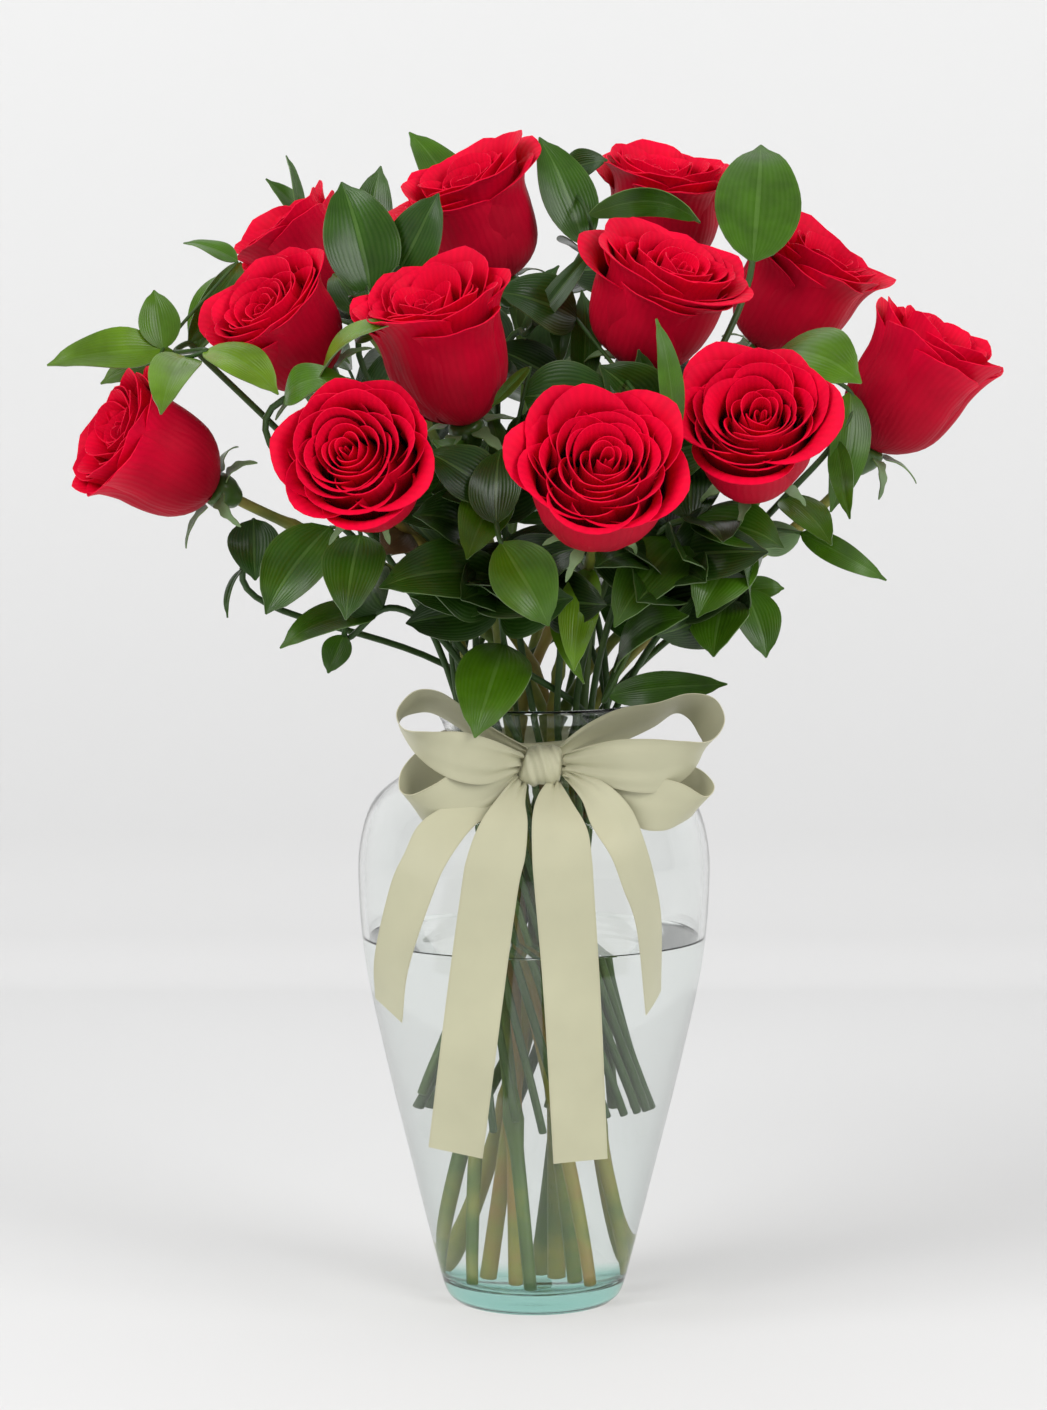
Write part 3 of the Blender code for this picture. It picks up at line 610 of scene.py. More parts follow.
def bunch_point(waist, height):
    """Below the neck: the place at the neck, blended with itself turned by TWIST and spread."""
    share = (NECK_HEIGHT - height) / (NECK_HEIGHT - STEM_FOOT)
    x, y = waist[0], waist[1]
    spread = GREEN_SPREAD if math.hypot(x, y) > (OUTER_RING + GREEN_RING) / 2 else ROSE_SPREAD
    c, s = spread * math.cos(TWIST), spread * math.sin(TWIST)
    return np.array([x + (c * x - s * y - x) * share, y + (s * x + c * y - y) * share, height])


def stem_line(waist, foot, end, end_direction, leave, arrive):
    """The straight run up to the neck, then a cubic that leaves along it and arrives as asked."""
    start = bunch_point(waist, foot)
    low = np.linspace(0, 1, STEM_LOW_ROWS + 1)[:-1, None] * (waist - start) + start
    rise = unit(waist - bunch_point(waist, STEM_FOOT))
    reach = np.linalg.norm(end - waist)
    high = bezier(waist, waist + rise * reach * leave, end - end_direction * reach * arrive, end,
                  STEM_HIGH_ROWS)
    return np.concatenate([low, high])


print("slots:", ROSE_SLOTS, "roses,", GREEN_SLOTS, "greens")

# %% [markdown]
# ## Leaves
# Ruscus leaves are stiff, glossy and pointed, with fine veins that run lengthwise, a fold along the
# middle and a dull, paler back. A leaf is one grid. Its half width follows a sine bent towards the
# base, its cross-section is a shallow V with a little wave along the rim, and its length arches. All
# the leaves of a sprig are worked out in one go.

# %% Leaf surface
LEAF_ROWS, LEAF_COLUMNS = 16, 11
LEAF_FOLD = 0.15
LEAF_THICKNESS = 0.0005


def leaf_grids(base, tip, width, roll, arch, up, seed):
    """Leaves from base to tip. Point (v, u) is base + along v L + side u w(v) + normal h(u, v).

    The half width is w = (W / 2) sin(pi v^0.85)^0.72 (1.06 - 0.20 v). The height is
    h = 4 arch L v (1 - v) + fold |u| w, plus a small groove at the midrib and a wave at the rim.
    """
    rng = np.random.default_rng(seed)
    count = len(base)
    length = np.linalg.norm(tip - base, axis=1)[:, None, None]
    along = unit(tip - base)
    normal = unit(up - along * np.sum(up * along, axis=1, keepdims=True))
    side = np.cross(along, normal)
    c, s = np.cos(roll)[:, None], np.sin(roll)[:, None]
    normal, side = normal * c + side * s, side * c - normal * s
    v = np.linspace(0, 1, LEAF_ROWS)[None, :, None]
    u = np.sin(np.linspace(-1, 1, LEAF_COLUMNS) * math.pi / 2)[None, None, :]
    u = 0.5 * u + 0.5 * np.linspace(-1, 1, LEAF_COLUMNS)[None, None, :]
    outline = np.sin(math.pi * np.clip(v, 0, 0.999) ** 0.85) ** 0.72 * (1.06 - 0.20 * v)
    half = 0.5 * width[:, None, None] * outline
    half = np.maximum(half * (1 - 0.55 * smoothstep(0.86, 1.0, v)), 0.00035)
    phase = rng.uniform(0, 6.28, (count, 1, 1))
    wave = rng.uniform(0.06, 0.16, (count, 1, 1)) * half
    fold = LEAF_FOLD * rng.uniform(0.5, 1.5, (count, 1, 1))
    bend = rng.uniform(-0.07, 0.07, (count, 1, 1)) * length
    twist = rng.uniform(-0.35, 0.35, (count, 1, 1)) * (v - 0.3)
    height = 4 * arch[:, None, None] * length * v * (1 - v) + fold * np.abs(u) * half
    height = height + 0.0004 * (1 - np.exp(-(u / 0.07) ** 2)) * np.sin(math.pi * v)
    height = height + wave * u * u * np.sin(5.5 * v + phase + 1.6 * u)
    height = height + twist * u * half - 0.035 * length * smoothstep(0.75, 1.0, v)
    sway = bend * (v * v - v)
    grid = base[:, None, None] + along[:, None, None] * (v * length)[..., None]
    grid = grid + side[:, None, None] * (u * half + sway)[..., None]
    return grid + normal[:, None, None] * height[..., None]


print("leaf grid:", LEAF_ROWS, "by", LEAF_COLUMNS)

# %% Leaf finish
leaf_gloss, leaf_tree, leaf_shader = principled(
    "ruscus_leaf", Roughness=0.34, Coat_Weight=0.16, Coat_Roughness=0.20, IOR=1.45, Specular_IOR_Level=0.38)
# The tint attribute runs from dark to pale green: partly each leaf's own tone, partly painted light and
# shade.
leaf_tone_and_light = attribute(leaf_tree, "tint")
leaf_upper = ramp(leaf_tree, leaf_tone_and_light, [
    (0.0, (0.004, 0.016, 0.001)), (0.35, (0.014, 0.058, 0.001)), (0.7, (0.052, 0.140, 0.001)),
    (1.0, (0.150, 0.262, 0.003))])
leaf_under = ramp(leaf_tree, leaf_tone_and_light, [
    (0.0, (0.030, 0.066, 0.022)), (0.5, (0.100, 0.180, 0.066)), (1.0, (0.230, 0.330, 0.160))])
leaf_vein = use_group(leaf_tree, lines, Across=attribute(leaf_tree, "across"),
                      Along=attribute(leaf_tree, "along"), Count=8.5, Wander=0.6)
leaf_midrib = math_node(leaf_tree, "ABSOLUTE", attribute(leaf_tree, "across"))
leaf_midrib = math_node(leaf_tree, "LESS_THAN", leaf_midrib, 0.045)
leaf_side = mix_colour(leaf_tree, attribute(leaf_tree, "front"), leaf_under, leaf_upper)
leaf_lined = mix_colour(leaf_tree, math_node(leaf_tree, "MULTIPLY", leaf_vein.outputs[0], 0.08),
                        leaf_side, (0.16, 0.27, 0.07))
leaf_lined = mix_colour(leaf_tree, math_node(leaf_tree, "MULTIPLY", leaf_midrib, 0.22),
                        leaf_lined, (0.16, 0.28, 0.07))
# A painted highlight: both edges of each leaf are mixed towards a paler green, as if light caught the rim.
leaf_rim_highlight = math_node(leaf_tree, "POWER", math_node(
    leaf_tree, "ABSOLUTE", attribute(leaf_tree, "across")), 14.0)
leaf_lined = mix_colour(leaf_tree, math_node(leaf_tree, "MULTIPLY", leaf_rim_highlight, 0.15),
                        leaf_lined, (0.22, 0.30, 0.10))
leaf_lined = mix_colour(leaf_tree, attribute(leaf_tree, "bronze"), leaf_lined, (0.150, 0.062, 0.040))
leaf_drift = use_group(leaf_tree, drift, Colour=leaf_lined, Scale=55.0, Darker=0.72, Lighter=1.3)
leaf_tree.links.new(leaf_drift.outputs[0], leaf_shader.inputs["Base Color"])
leaf_tree.links.new(math_node(leaf_tree, "ADD", math_node(
    leaf_tree, "MULTIPLY", object_noise(leaf_tree, 120.0), 0.2), 0.22), leaf_shader.inputs["Roughness"])
put_bump(leaf_tree, leaf_shader, leaf_vein.outputs[0], 0.0002, 0.35)
print("finish:", leaf_gloss.name)

# %% Green stem finish
green_bark, bark_tree, bark_shader = principled("green_bark", Roughness=0.5, IOR=1.45)
bark_tint = attribute(bark_tree, "tint")
bark_patch = math_node(bark_tree, "ADD", bark_tint, math_node(
    bark_tree, "MULTIPLY", math_node(bark_tree, "SUBTRACT", object_noise(bark_tree, 38.0, 4.0), 0.5), 1.1))
bark_colour = ramp(bark_tree, bark_patch, [
    (0.0, (0.022, 0.070, 0.008)), (0.4, (0.070, 0.140, 0.012)), (0.65, (0.240, 0.250, 0.035)),
    (1.0, (0.330, 0.165, 0.040))])
bark_fine = object_noise(bark_tree, 260.0, 3.0, (1.0, 1.0, 0.25))
bark_colour = mix_colour(bark_tree, math_node(bark_tree, "MULTIPLY", bark_fine, 0.35), bark_colour,
                         (0.045, 0.060, 0.020))
bark_tree.links.new(bark_colour, bark_shader.inputs["Base Color"])
put_bump(bark_tree, bark_shader, bark_fine, 0.0004, 0.5)
print("finish:", green_bark.name)

# %% The layout: blooms, sprigs and their leaves
# rose: centre (mm), the way it faces, radius and height (mm), slot of its stem, opening
ROSES = [
    ((-161, -60, 378), (-0.74, -0.42, 0.42), 28, 60, 3, 0.35),
    ((-103, 50, 468), (-0.62, -0.15, 0.75), 28, 52, 2, 0.45),
    ((-107, -35, 432), (-0.45, -0.50, 0.62), 28.5, 52, 8, 0.5),
    ((-25, 42, 483), (-0.36, -0.35, 0.86), 32, 58, 7, 0.75),
    ((-37, -82, 422), (-0.22, -0.45, 0.86), 30, 68, 9, 0.55),
    ((-70, -120, 374), (-0.12, -0.88, 0.36), 30.5, 52, 0, 0.62),
    ((25, -130, 366), (0.0, -0.83, 0.54), 32.5, 52, 10, 0.60),
    ((52, -60, 443), (0.30, -0.50, 0.80), 31.5, 58, 11, 0.7),
    ((60, 66, 490), (0.10, -0.30, 0.95), 30.5, 54, 6, 0.7),
    ((119, 32, 451), (0.46, -0.30, 0.82), 32, 60, 1, 0.6),
    ((90, -100, 386), (-0.10, -0.78, 0.54), 30.5, 56, 5, 0.62),
    ((165, -15, 409), (0.50, -0.22, 0.80), 30.5, 66, 4, 0.35),
]
# front sprigs of ruscus: slot in the green ring, then the leaves, each as base (mm), tip (mm),
# width (mm), roll (degrees) and arch (share of length)
SPRIGS = {
    "01": (4, [
        ((-161, -30, 424), (-209, -45, 418), 21, 0, 0.05),
        ((-161, -30, 425), (-165, -25, 450), 17, 10, 0.05),
        ((-151, -19, 427), (-130, 19, 465), 13, 30, 0.12),
        ((-147, -18, 423), (-134, 29, 462), 17, -10, 0.1),
        ((-148, -60, 420), (-154, -105, 397), 20, 0, 0.08),
        ((-156, -25, 423), (-189, -25, 410), 15, 0, 0),
        ((-139, -64, 423), (-107, -85, 405), 20, -10, 0.1),
        ((-130, -10, 463), (-154, -5, 472), 12, 20, 0.05),
    ]),
    "02": (17, [
        ((-109, 95, 490), (-115, 95, 518), 8, 50, 0),
        ((-95, 108, 478), (-125, 100, 508), 14, 10, 0),
        ((-80, 92, 462), (-72, 102, 514), 21, 0, 0),
    ]),
    "03": (18, [
        ((-71, -20, 447), (-84, -10, 498), 32, 5, 0.06),
        ((-62, -10, 454), (-42, -18, 492), 24, 10, 0),
        ((-75, -18, 438), (-89, 4, 459), 17, 0, 0.05),
    ]),
    "04": (11, [
        ((-89, -85, 410), (-59, -119, 433), 19, -15, 0.1),
        ((-105, -80, 402), (-79, -100, 411), 16, 10, 0.15),
    ]),
    "05": (22, [
        ((-30, 92, 492), (-58, 102, 530), 22, 5, 0),
    ]),
    "06": (12, [
        ((23, 30, 472), (3, 40, 522), 24, 10, 0.04),
        ((12, 60, 508), (33, 46, 512), 14, 20, 0),
        ((24, 18, 485), (73, 5, 480), 14, 70, -0.35),
        ((-1, -50, 433), (25, -48, 466), 9, 15, 0.05),
        ((-6, -40, 432), (10, -40, 460), 11, -15, 0.05),
    ]),
    "07": (14, [
        ((95, -18, 462), (103, 40, 520), 36, 5, 0.03),
    ]),
    "08": (19, [
        ((101, -50, 420), (136, -85, 410), 36, -5, 0.15),
        ((137, -30, 406), (129, -38, 354), 19, -30, 0.1),
        ((130, -40, 385), (134, -60, 352), 10, 20, 0.05),
        ((108, -38, 360), (125, -75, 342), 17, 0, 0.05),
    ]),
    "09": (15, [
        ((66, -73, 351), (104, -88, 341), 26, -10, 0.08),
        ((117, -38, 347), (90, -72, 343), 15, 150, 0.05),
        ((115, -40, 345), (151, -50, 325), 11, 30, 0.18),
    ]),
    "10": (21, [
        ((88, -60, 340), (68, -90, 312), 26, 0, 0.08),
        ((81, -60, 317), (75, -85, 295), 25, 10, 0.05),
        ((90, -50, 321), (99, -65, 293), 20, -10, 0.05),
        ((90, -40, 320), (108, -40, 321), 10, 20, 0.08),
    ]),
    "11": (20, [
        ((63, -70, 344), (33, -105, 309), 27, 0, 0.08),
        ((36, -48, 289), (62, -99, 313), 26, 10, 0.08),
        ((31, -62, 276), (82, -66, 281), 14, 40, -0.25),
    ]),
    "12": (13, [
        ((-14, -110, 343), (6, -115, 309), 26, 0, 0.06),
        ((8, -66, 314), (20, -92, 284), 8, 25, 0.05),
        ((-15, -80, 367), (-28, -110, 337), 21, 0, 0.05),
    ]),
    "13": (16, [
        ((-13, -60, 298), (-25, -95, 262), 30, 0, 0.08),
        ((-16, -75, 327), (-64, -100, 325), 28, -5, 0.12),
    ]),
    "14": (10, [
        ((-73, -80, 345), (-78, -110, 312), 25, 0, 0.1),
        ((-87, -60, 348), (-113, -85, 313), 28, 0, 0.06),
        ((-68, -50, 311), (-108, -70, 298), 19, 10, 0.1),
        ((-82, -45, 301), (-89, -50, 285), 12, 0, 0.05),
    ]),
    "15": (1, [
        ((-121, -42, 351), (-120, -50, 325), 21, 0, 0.06),
        ((-127, -30, 329), (-133, -45, 309), 5, 40, 0.1),
    ]),
    "16": (9, [
        ((12, -30, 445), (11, -45, 417), 9, 10, 0),
        ((20, -44, 406), (21, -30, 450), 13, 20, 0.05),
        ((57, -118, 384), (50, -122, 434), 10, 20, 0.05),
        ((49, -60, 395), (44, -82, 422), 13, 0, 0),
    ]),
    "17": (8, [
        ((-2, -94, 415), (-18, -90, 399), 6, 0, 0),
        ((-19, -60, 363), (-42, -80, 385), 18, 0, 0.05),
        ((-13, -56, 368), (-19, -60, 397), 11, 20, 0),
    ]),
}

# leaves of the rose bush itself: rose number, base, tip, width (mm), roll, arch
ROSE_LEAVES = [
    (6, (-42, -66, 352), (-64, -72, 337), 19, -20, 0.10),
    (7, (6, -96, 312), (16, -100, 290), 18, 10, 0.06),
]

# how light each leaf of a sprig is, 0 the darkest and 1 the brightest: partly each leaf's own green,
# and partly painted light and shade, paler where a leaf is lit or glints and darker where it is shaded
LEAF_TONE_AND_LIGHT = {
    "01": [0.80, 0.76, 0.60, 0.66, 0.80, 0.78, 0.84, 0.6],
    "02": [0.5, 0.5, 0.45],
    "03": [0.40, 0.32, 0.5],
    "04": [0.88, 0.75],
    "05": [0.6],
    "06": [0.40, 0.35, 0.5, 0.3, 0.3],
    "07": [0.66],
    "08": [0.74, 0.62, 0.6, 0.62],
    "09": [0.40, 0.66, 0.68],
    "10": [0.55, 0.5, 0.55, 0.6],
    "11": [0.50, 0.45, 0.5],
    "12": [0.72, 0.75, 0.68],
    "13": [0.62, 0.33],
    "14": [0.48, 0.52, 0.55, 0.5],
    "15": [0.35, 0.3],
    "16": [0.4, 0.4, 0.62, 0.4],
    "17": [0.5, 0.45, 0.4],
}
ROSE_STEM_TINTS = [0.58, 0.45, 0.7, 0.3, 0.6, 0.78, 0.66, 0.35, 0.45, 0.8, 0.5, 0.62]


# %% Build the ruscus sprigs
def mm(points):
    """Lengths given in millimetres, in metres."""
    return np.array(points, float) * 0.001


GOLDEN_ANGLE = math.radians(137.5)
LEAF_BREADTH = 1.10   # how much wider a fine leaf is than its plain plate
INNER_LEAVES = 11
INNER_CROWD = 0.7     # below 1 sets more of them near the top
INNER_LOW, INNER_HIGH = 0.312, 0.475
INNER_LENGTH, INNER_WIDTH = (0.034, 0.048), (0.024, 0.032)
# painted shade: the leaves inside the bunch take only the darkest tints, as if shaded by the blooms and
# stems
INNER_PAINTED_SHADE = (0.0, 0.30)
INNER_UP = (0.0, -0.9, 0.6)
INNER_REACH = 0.098   # how far left or right of the vase's axis they go
INNER_BACK = 0.118    # and how far to the front or the back
BLOOM_MARGIN = 0.98   # how near a bloom's centre they come, as a share of its radius
BLOOM_HIDE = 0.85     # and how near in front of it
FRONT_FOOT = 0.090    # the height of the cut ends of the front sprigs
JOINT_GAP = 0.004     # leaves nearer each other than this share one joint
BLOOM_CENTRES = mm([rose[0] for rose in ROSES])
BLOOM_RADII = mm([rose[2] for rose in ROSES])


def clear_of_blooms(leaves):
    """True for each leaf that stays out of every bloom, hides none and keeps to the middle."""
    points = leaves.reshape(len(leaves), -1, 1, 3)
    gap = points - BLOOM_CENTRES
    inside_bloom = np.linalg.norm(gap, axis=-1) < BLOOM_MARGIN * BLOOM_RADII
    seen_near = np.linalg.norm(gap[..., [0, 2]], axis=-1) < BLOOM_HIDE * BLOOM_RADII
    hides_bloom = seen_near & (gap[..., 1] < 0)
    strays = (np.abs(points[..., :2]) > [INNER_REACH, INNER_BACK]).any(axis=-1)
    return ~(inside_bloom | hides_bloom | strays).any(axis=(1, 2))


def inner_leaves(line, rng):
    """Leaves on the bare part of a stem, each a golden angle round from the one before."""
    free = line[(line[:, 2] > INNER_LOW) & (line[:, 2] < INNER_HIGH)]
    count = INNER_LEAVES if len(free) > 2 else 0
    share = (rng.uniform(0, 1, count) + np.arange(count)) / max(count, 1)
    place = share**INNER_CROWD * (len(free) - 1)
    root = free[place.astype(int)] if count else np.zeros((0, 3))
    turn = GOLDEN_ANGLE * np.arange(count) + rng.uniform(0, 6.28)
    out = np.stack([np.cos(turn), np.sin(turn), rng.uniform(-0.3, 0.6, count)], -1)
    middle_out = unit(root * [1.0, 1.0, 0.0] + 1e-6)
    away = unit(out + 0.7 * middle_out)
    length = rng.uniform(*INNER_LENGTH, (count, 1))
    up = unit(middle_out + INNER_UP)
    leaves = leaf_grids(root, root + away * length, rng.uniform(*INNER_WIDTH, count),
                        rng.uniform(-0.5, 0.5, count), rng.uniform(0.02, 0.1, count), up,
                        int(rng.integers(10000)))
    return leaves[clear_of_blooms(leaves)]


def sprig_shape(slot, foot, leaves, up, seed, tones_and_light):
    """One stem and its leaves, each a base, tip and width in mm, a roll in degrees and an arch."""
    rng = np.random.default_rng(seed)
    waist = green_waist(slot)
    base = mm([leaf[0] for leaf in leaves])
    tip = mm([leaf[1] for leaf in leaves])
    order = np.argsort(np.linalg.norm(base - waist, axis=1))
    nodes = [base[order[0]]]
    for place in base[order[1:]]:
        if np.linalg.norm(place - nodes[-1]) > JOINT_GAP:
            nodes.append(place)
    nodes = np.array(nodes)
    if len(nodes) > 1:
        end_direction = unit(nodes[1] - nodes[0])
    else:
        end_direction = unit(tip[order[0]] - nodes[0])
    line = stem_line(waist, foot, nodes[0], end_direction, 0.4, 0.25)
    if len(nodes) > 1:
        upper = smooth_line(nodes, 6 * len(nodes))[1:]
        line = np.concatenate([line, upper])
    thinning = [0, STEM_LOW_ROWS + STEM_HIGH_ROWS, len(line) + 6]
    radius = np.interp(np.arange(len(line)), thinning, [1.0, 0.85, 0.35]) * GREEN_STEM_RADIUS
    stem = tube(line, radius, 8, {"tint": rng.uniform(-0.30, 0.12)})
    joint = nodes[np.argmin(np.linalg.norm(base[:, None] - nodes[None], axis=2), axis=1)]
    width = LEAF_BREADTH * mm([leaf[2] for leaf in leaves])
    roll = np.radians([leaf[3] for leaf in leaves])
    arch = np.array([leaf[4] for leaf in leaves])
    grids = leaf_grids(joint, tip, width, roll, arch, up, seed)
    tint = np.array(tones_and_light) + rng.uniform(-0.08, 0.08, len(leaves))
    small = inner_leaves(line, rng)
    # the inner leaves get dark tints: painted shade
    small_painted_shade = rng.uniform(*INNER_PAINTED_SHADE, len(small))
    grids = np.concatenate([grids, small])
    tint = np.clip(np.concatenate([tint, small_painted_shade]), 0, 1)
    blades = sheets(grids, LEAF_THICKNESS, {"tint": tint[:, None, None]})
    return stem, blades


def add_sprig(name, slot, foot, leaves, up, seed, tones_and_light):
    """The two pieces, leaves and stem, that stand for one sprig of the frame."""
    stem, blades = sprig_shape(slot, foot, leaves, up, seed, tones_and_light)
    node = "ruscus_sprig_" + name
    mesh_piece("ruscus_leaves_" + name, blades, leaf_gloss, node)
    mesh_piece("ruscus_stem_" + name, stem, green_bark, node)


FRONT_UP = np.array([0.0, -0.8, 0.6])
for number, (name, (slot, leaves)) in enumerate(SPRIGS.items()):
    add_sprig(name, slot, FRONT_FOOT, leaves, FRONT_UP, 100 + number, LEAF_TONE_AND_LIGHT[name])
print("front sprigs:", len(SPRIGS))

# %% Build the sprigs at the back
BACK_SPRIGS = 6
BACK_FIRST, BACK_LAST = math.radians(38), math.radians(142)
BACK_SLOTS = [3, 23, 0, 5, 6, 7]
BACK_LEAVES = 5
BACK_LEAF_LENGTH, BACK_LEAF_WIDTH = 33, 23
BACK_LEAF_ARCH = 0.05
BACK_LOW, BACK_HIGH = (58, 325), (108, 405)   # reach and height of the lowest and highest joints
BACK_LOW_STEP, BACK_HIGH_STEP = 8, 12         # every other sprig stands this much taller
BACK_FOOT, BACK_FOOT_STEP = 0.085, 0.012      # the height of their cut ends, in three steps
BACK_TINTS = [0.35, 0.5, 0.3, 0.45, 0.6]
FIRST_BACK_NAME = 18


def back_leaves(index):
    """Leaves set left and right in turn up a stem that leans back and out, in mm."""
    angle = BACK_FIRST + (BACK_LAST - BACK_FIRST) * index / (BACK_SPRIGS - 1)
    out = np.array([math.cos(angle), math.sin(angle), 0.0])
    across = np.array([-out[1], out[0], 0.0])
    low = out * BACK_LOW[0] + [0, 0, BACK_LOW[1] + BACK_LOW_STEP * (index % 2)]
    high = out * BACK_HIGH[0] + [0, 0, BACK_HIGH[1] + BACK_HIGH_STEP * (index % 2)]
    leaves = []
    for number in range(BACK_LEAVES):
        share = number / (BACK_LEAVES - 1)
        base = low + (high - low) * share
        side = 1 if number % 2 else -1
        lean = unit(out * 0.9 + across * (0.55 * side) + [0, 0, -0.1 + 0.6 * share])
        if number == BACK_LEAVES - 1:
            lean = unit(high - low)
        leaves.append((base, base + lean * BACK_LEAF_LENGTH, BACK_LEAF_WIDTH, 0, BACK_LEAF_ARCH))
    return leaves, out + [0, 0, 0.5]


for index, slot in enumerate(BACK_SLOTS):
    leaves, up = back_leaves(index)
    foot = BACK_FOOT + BACK_FOOT_STEP * (index % 3)
    add_sprig(f"{FIRST_BACK_NAME + index:02d}", slot, foot, leaves, up, 200 + index, BACK_TINTS)
print("back sprigs:", BACK_SPRIGS)

# %% [markdown]
# ## Roses
# A garden rose opens as a spiral. Each petal stands 137.5 degrees on from the one before, so petals
# never line up, and the rim of each one rolls outward while the heart stays coiled. The bloom is one
# rule for three dozen petals: a small ring number means a tall, narrow petal that wraps the heart,
# and a large one means a broad petal that bellies out and rolls its lip over.
#
# The profile of a petal is drawn the way a ship's rib is: the angle at which the petal leans is
# given at six heights, and adding up small steps along that angle gives the curve.

# %% Petal surface
PETALS = 36
HEART_SHIFT = 0.19
PETAL_ROWS, PETAL_COLUMNS = 21, 17
PETAL_THICKNESS = 0.00045
LEAN_HEIGHTS = [0.0, 0.22, 0.45, 0.70, 0.86, 1.0]
RINGS = [0.0, 0.3, 0.6, 0.8, 1.0]
# lean from upright in degrees, for each ring at each height
LEANS = [
    [20, 8, -4, -10, -10, -8],
    [52, 16, -4, -12, -4, 12],
    [70, 28, 2, -8, 8, 44],
    [78, 40, 8, -2, 24, 76],
    [84, 52, 12, 0, 38, 104],
]
RING_BELLY = [0.07, 0.36, 0.66, 0.81, 0.88]
RING_HEIGHT = [0.84, 0.90, 0.96, 0.95, 0.89]
RING_HALF_ANGLE = [118, 96, 74, 66, 62]


def bloom_grids(radius, height, opening, seed):
    """All petals of a bloom that faces +Z, its base at the origin.

    A point is (r cos a, r sin a, z), with a = petal angle + s W(q), and (r, z) the running sum of
    (sin lean, cos lean) over q. The sum is scaled to the ring's belly radius and height. Towards
    the sides of the petal the sum stops sooner, which rounds the rim, and leans out less, so the
    corners hug the bloom and the middle of the lip rolls over. The opening, 0 to 1, is how far.
    """
    rng = np.random.default_rng(seed)
    ring = (np.arange(PETALS) / (PETALS - 1)) ** 0.92
    q = np.linspace(0, 1, PETAL_ROWS) ** 0.8
    s = np.linspace(-1, 1, PETAL_COLUMNS)[None, None, :]
    lean_by_ring = np.stack([np.interp(ring, RINGS, column) for column in zip(*LEANS)], -1)
    lean = np.array([np.interp(q, LEAN_HEIGHTS, row) for row in lean_by_ring])[:, :, None]
    t = ring[:, None, None]
    rim = smoothstep(0.55, 1.0, q)[None, :, None]
    lean = lean * (1 - (1 - opening) * rim * smoothstep(0.2, 0.8, t))
    hug = rng.uniform(14, 44, (PETALS, 1, 1)) * smoothstep(0.2, 0.8, t) * rim * np.abs(s) ** 2.2
    open_more = rng.normal(0, 7, (PETALS, 1, 1)) * smoothstep(0.15, 0.6, t) * rim
    lean = np.radians(lean - hug + open_more)
    step = np.diff(q, prepend=0.0)[None, :, None]
    length = 1 - 0.20 * np.abs(s) ** 2.6 + 0.03 * np.exp(-(s / 0.16) ** 2) * smoothstep(0.3, 0.8, t)
    run_out = np.cumsum(np.sin(lean) * step * length, axis=1)
    run_up = np.cumsum(np.cos(lean) * step * length, axis=1)
    middle = PETAL_COLUMNS // 2
    belly_row = int(np.argmin(np.abs(q - 0.6)))
    belly = np.interp(ring, RINGS, RING_BELLY)[:, None, None] * radius
    belly = belly * rng.uniform(0.95, 1.04, (PETALS, 1, 1))
    tall = np.interp(ring, RINGS, RING_HEIGHT)[:, None, None] * height
    tall = tall * rng.uniform(0.93, 1.03, (PETALS, 1, 1))
    foot = 0.04 * radius
    grow_up = tall / run_up[:, :, middle].max(axis=1)[:, None, None]
    grow_out = (belly - foot) / np.maximum(run_out[:, belly_row, middle], 0.02)[:, None, None]
    lip = np.maximum(q - 0.6, 0)[None, :, None] / 0.4
    r_low = foot + grow_out * run_out
    r_belly = r_low[:, belly_row:belly_row + 1]
    r = np.where(q[None, :, None] > q[belly_row],
                 r_belly + (run_out - run_out[:, belly_row:belly_row + 1]) * grow_up, r_low)
    z = grow_up * run_up
    phase = rng.uniform(0, 6.28, (PETALS, 1, 1))
    ruffle = rng.uniform(0.4, 1.0, (PETALS, 1, 1)) * 0.05 * radius * lip ** 2 * smoothstep(0.1, 0.6, t)
    r = r + ruffle * np.sin(3.2 * s + phase)
    z = z + 0.6 * ruffle * np.sin(4.4 * s + 2 * phase)
    r = r * (1 + 0.055 * s * (1 - 0.4 * t))
    half_angle = np.radians(np.interp(ring, RINGS, RING_HALF_ANGLE))[:, None, None]
    spread = 0.45 + 0.55 * smoothstep(0.0, 0.55, q)[None, :, None]
    spread = spread * (1 - 0.10 * smoothstep(0.8, 1.0, q)[None, :, None])
    angle = np.arange(PETALS)[:, None, None] * GOLDEN_ANGLE + rng.normal(0, 0.10, (PETALS, 1, 1))
    angle = angle + s * half_angle * spread
    tilt = rng.normal(0, 0.08, (PETALS, 1, 1)) * t
    z = z + tilt * r
    heart = rng.uniform(0, 2 * math.pi)
    shift = HEART_SHIFT * radius * (1 - t) * smoothstep(0.25, 0.95, z / height)
    x = r * np.cos(angle) + shift * math.cos(heart)
    y = r * np.sin(angle) + shift * math.sin(heart)
    return np.stack([x, y, z], -1), ring


def facing_axes(axis, spin):
    """Three perpendicular directions, the third along the axis, turned about it by spin."""
    third = unit(axis)
    first = unit(np.cross([0.0, 0.0, 1.0], third) + 1e-9)
    second = np.cross(third, first)
    c, s = math.cos(spin), math.sin(spin)
    return np.stack([first * c + second * s, second * c - first * s, third])


print("petals in a bloom:", PETALS)

# %% Petal finish
velvet_red, red_tree, red_shader = principled(
    "velvet_red", Roughness=0.55, IOR=1.4, Specular_IOR_Level=0.12, Sheen_Weight=0.04,
    Sheen_Roughness=0.4, Sheen_Tint=(1.0, 0.15, 0.22))
red_along = attribute(red_tree, "along")
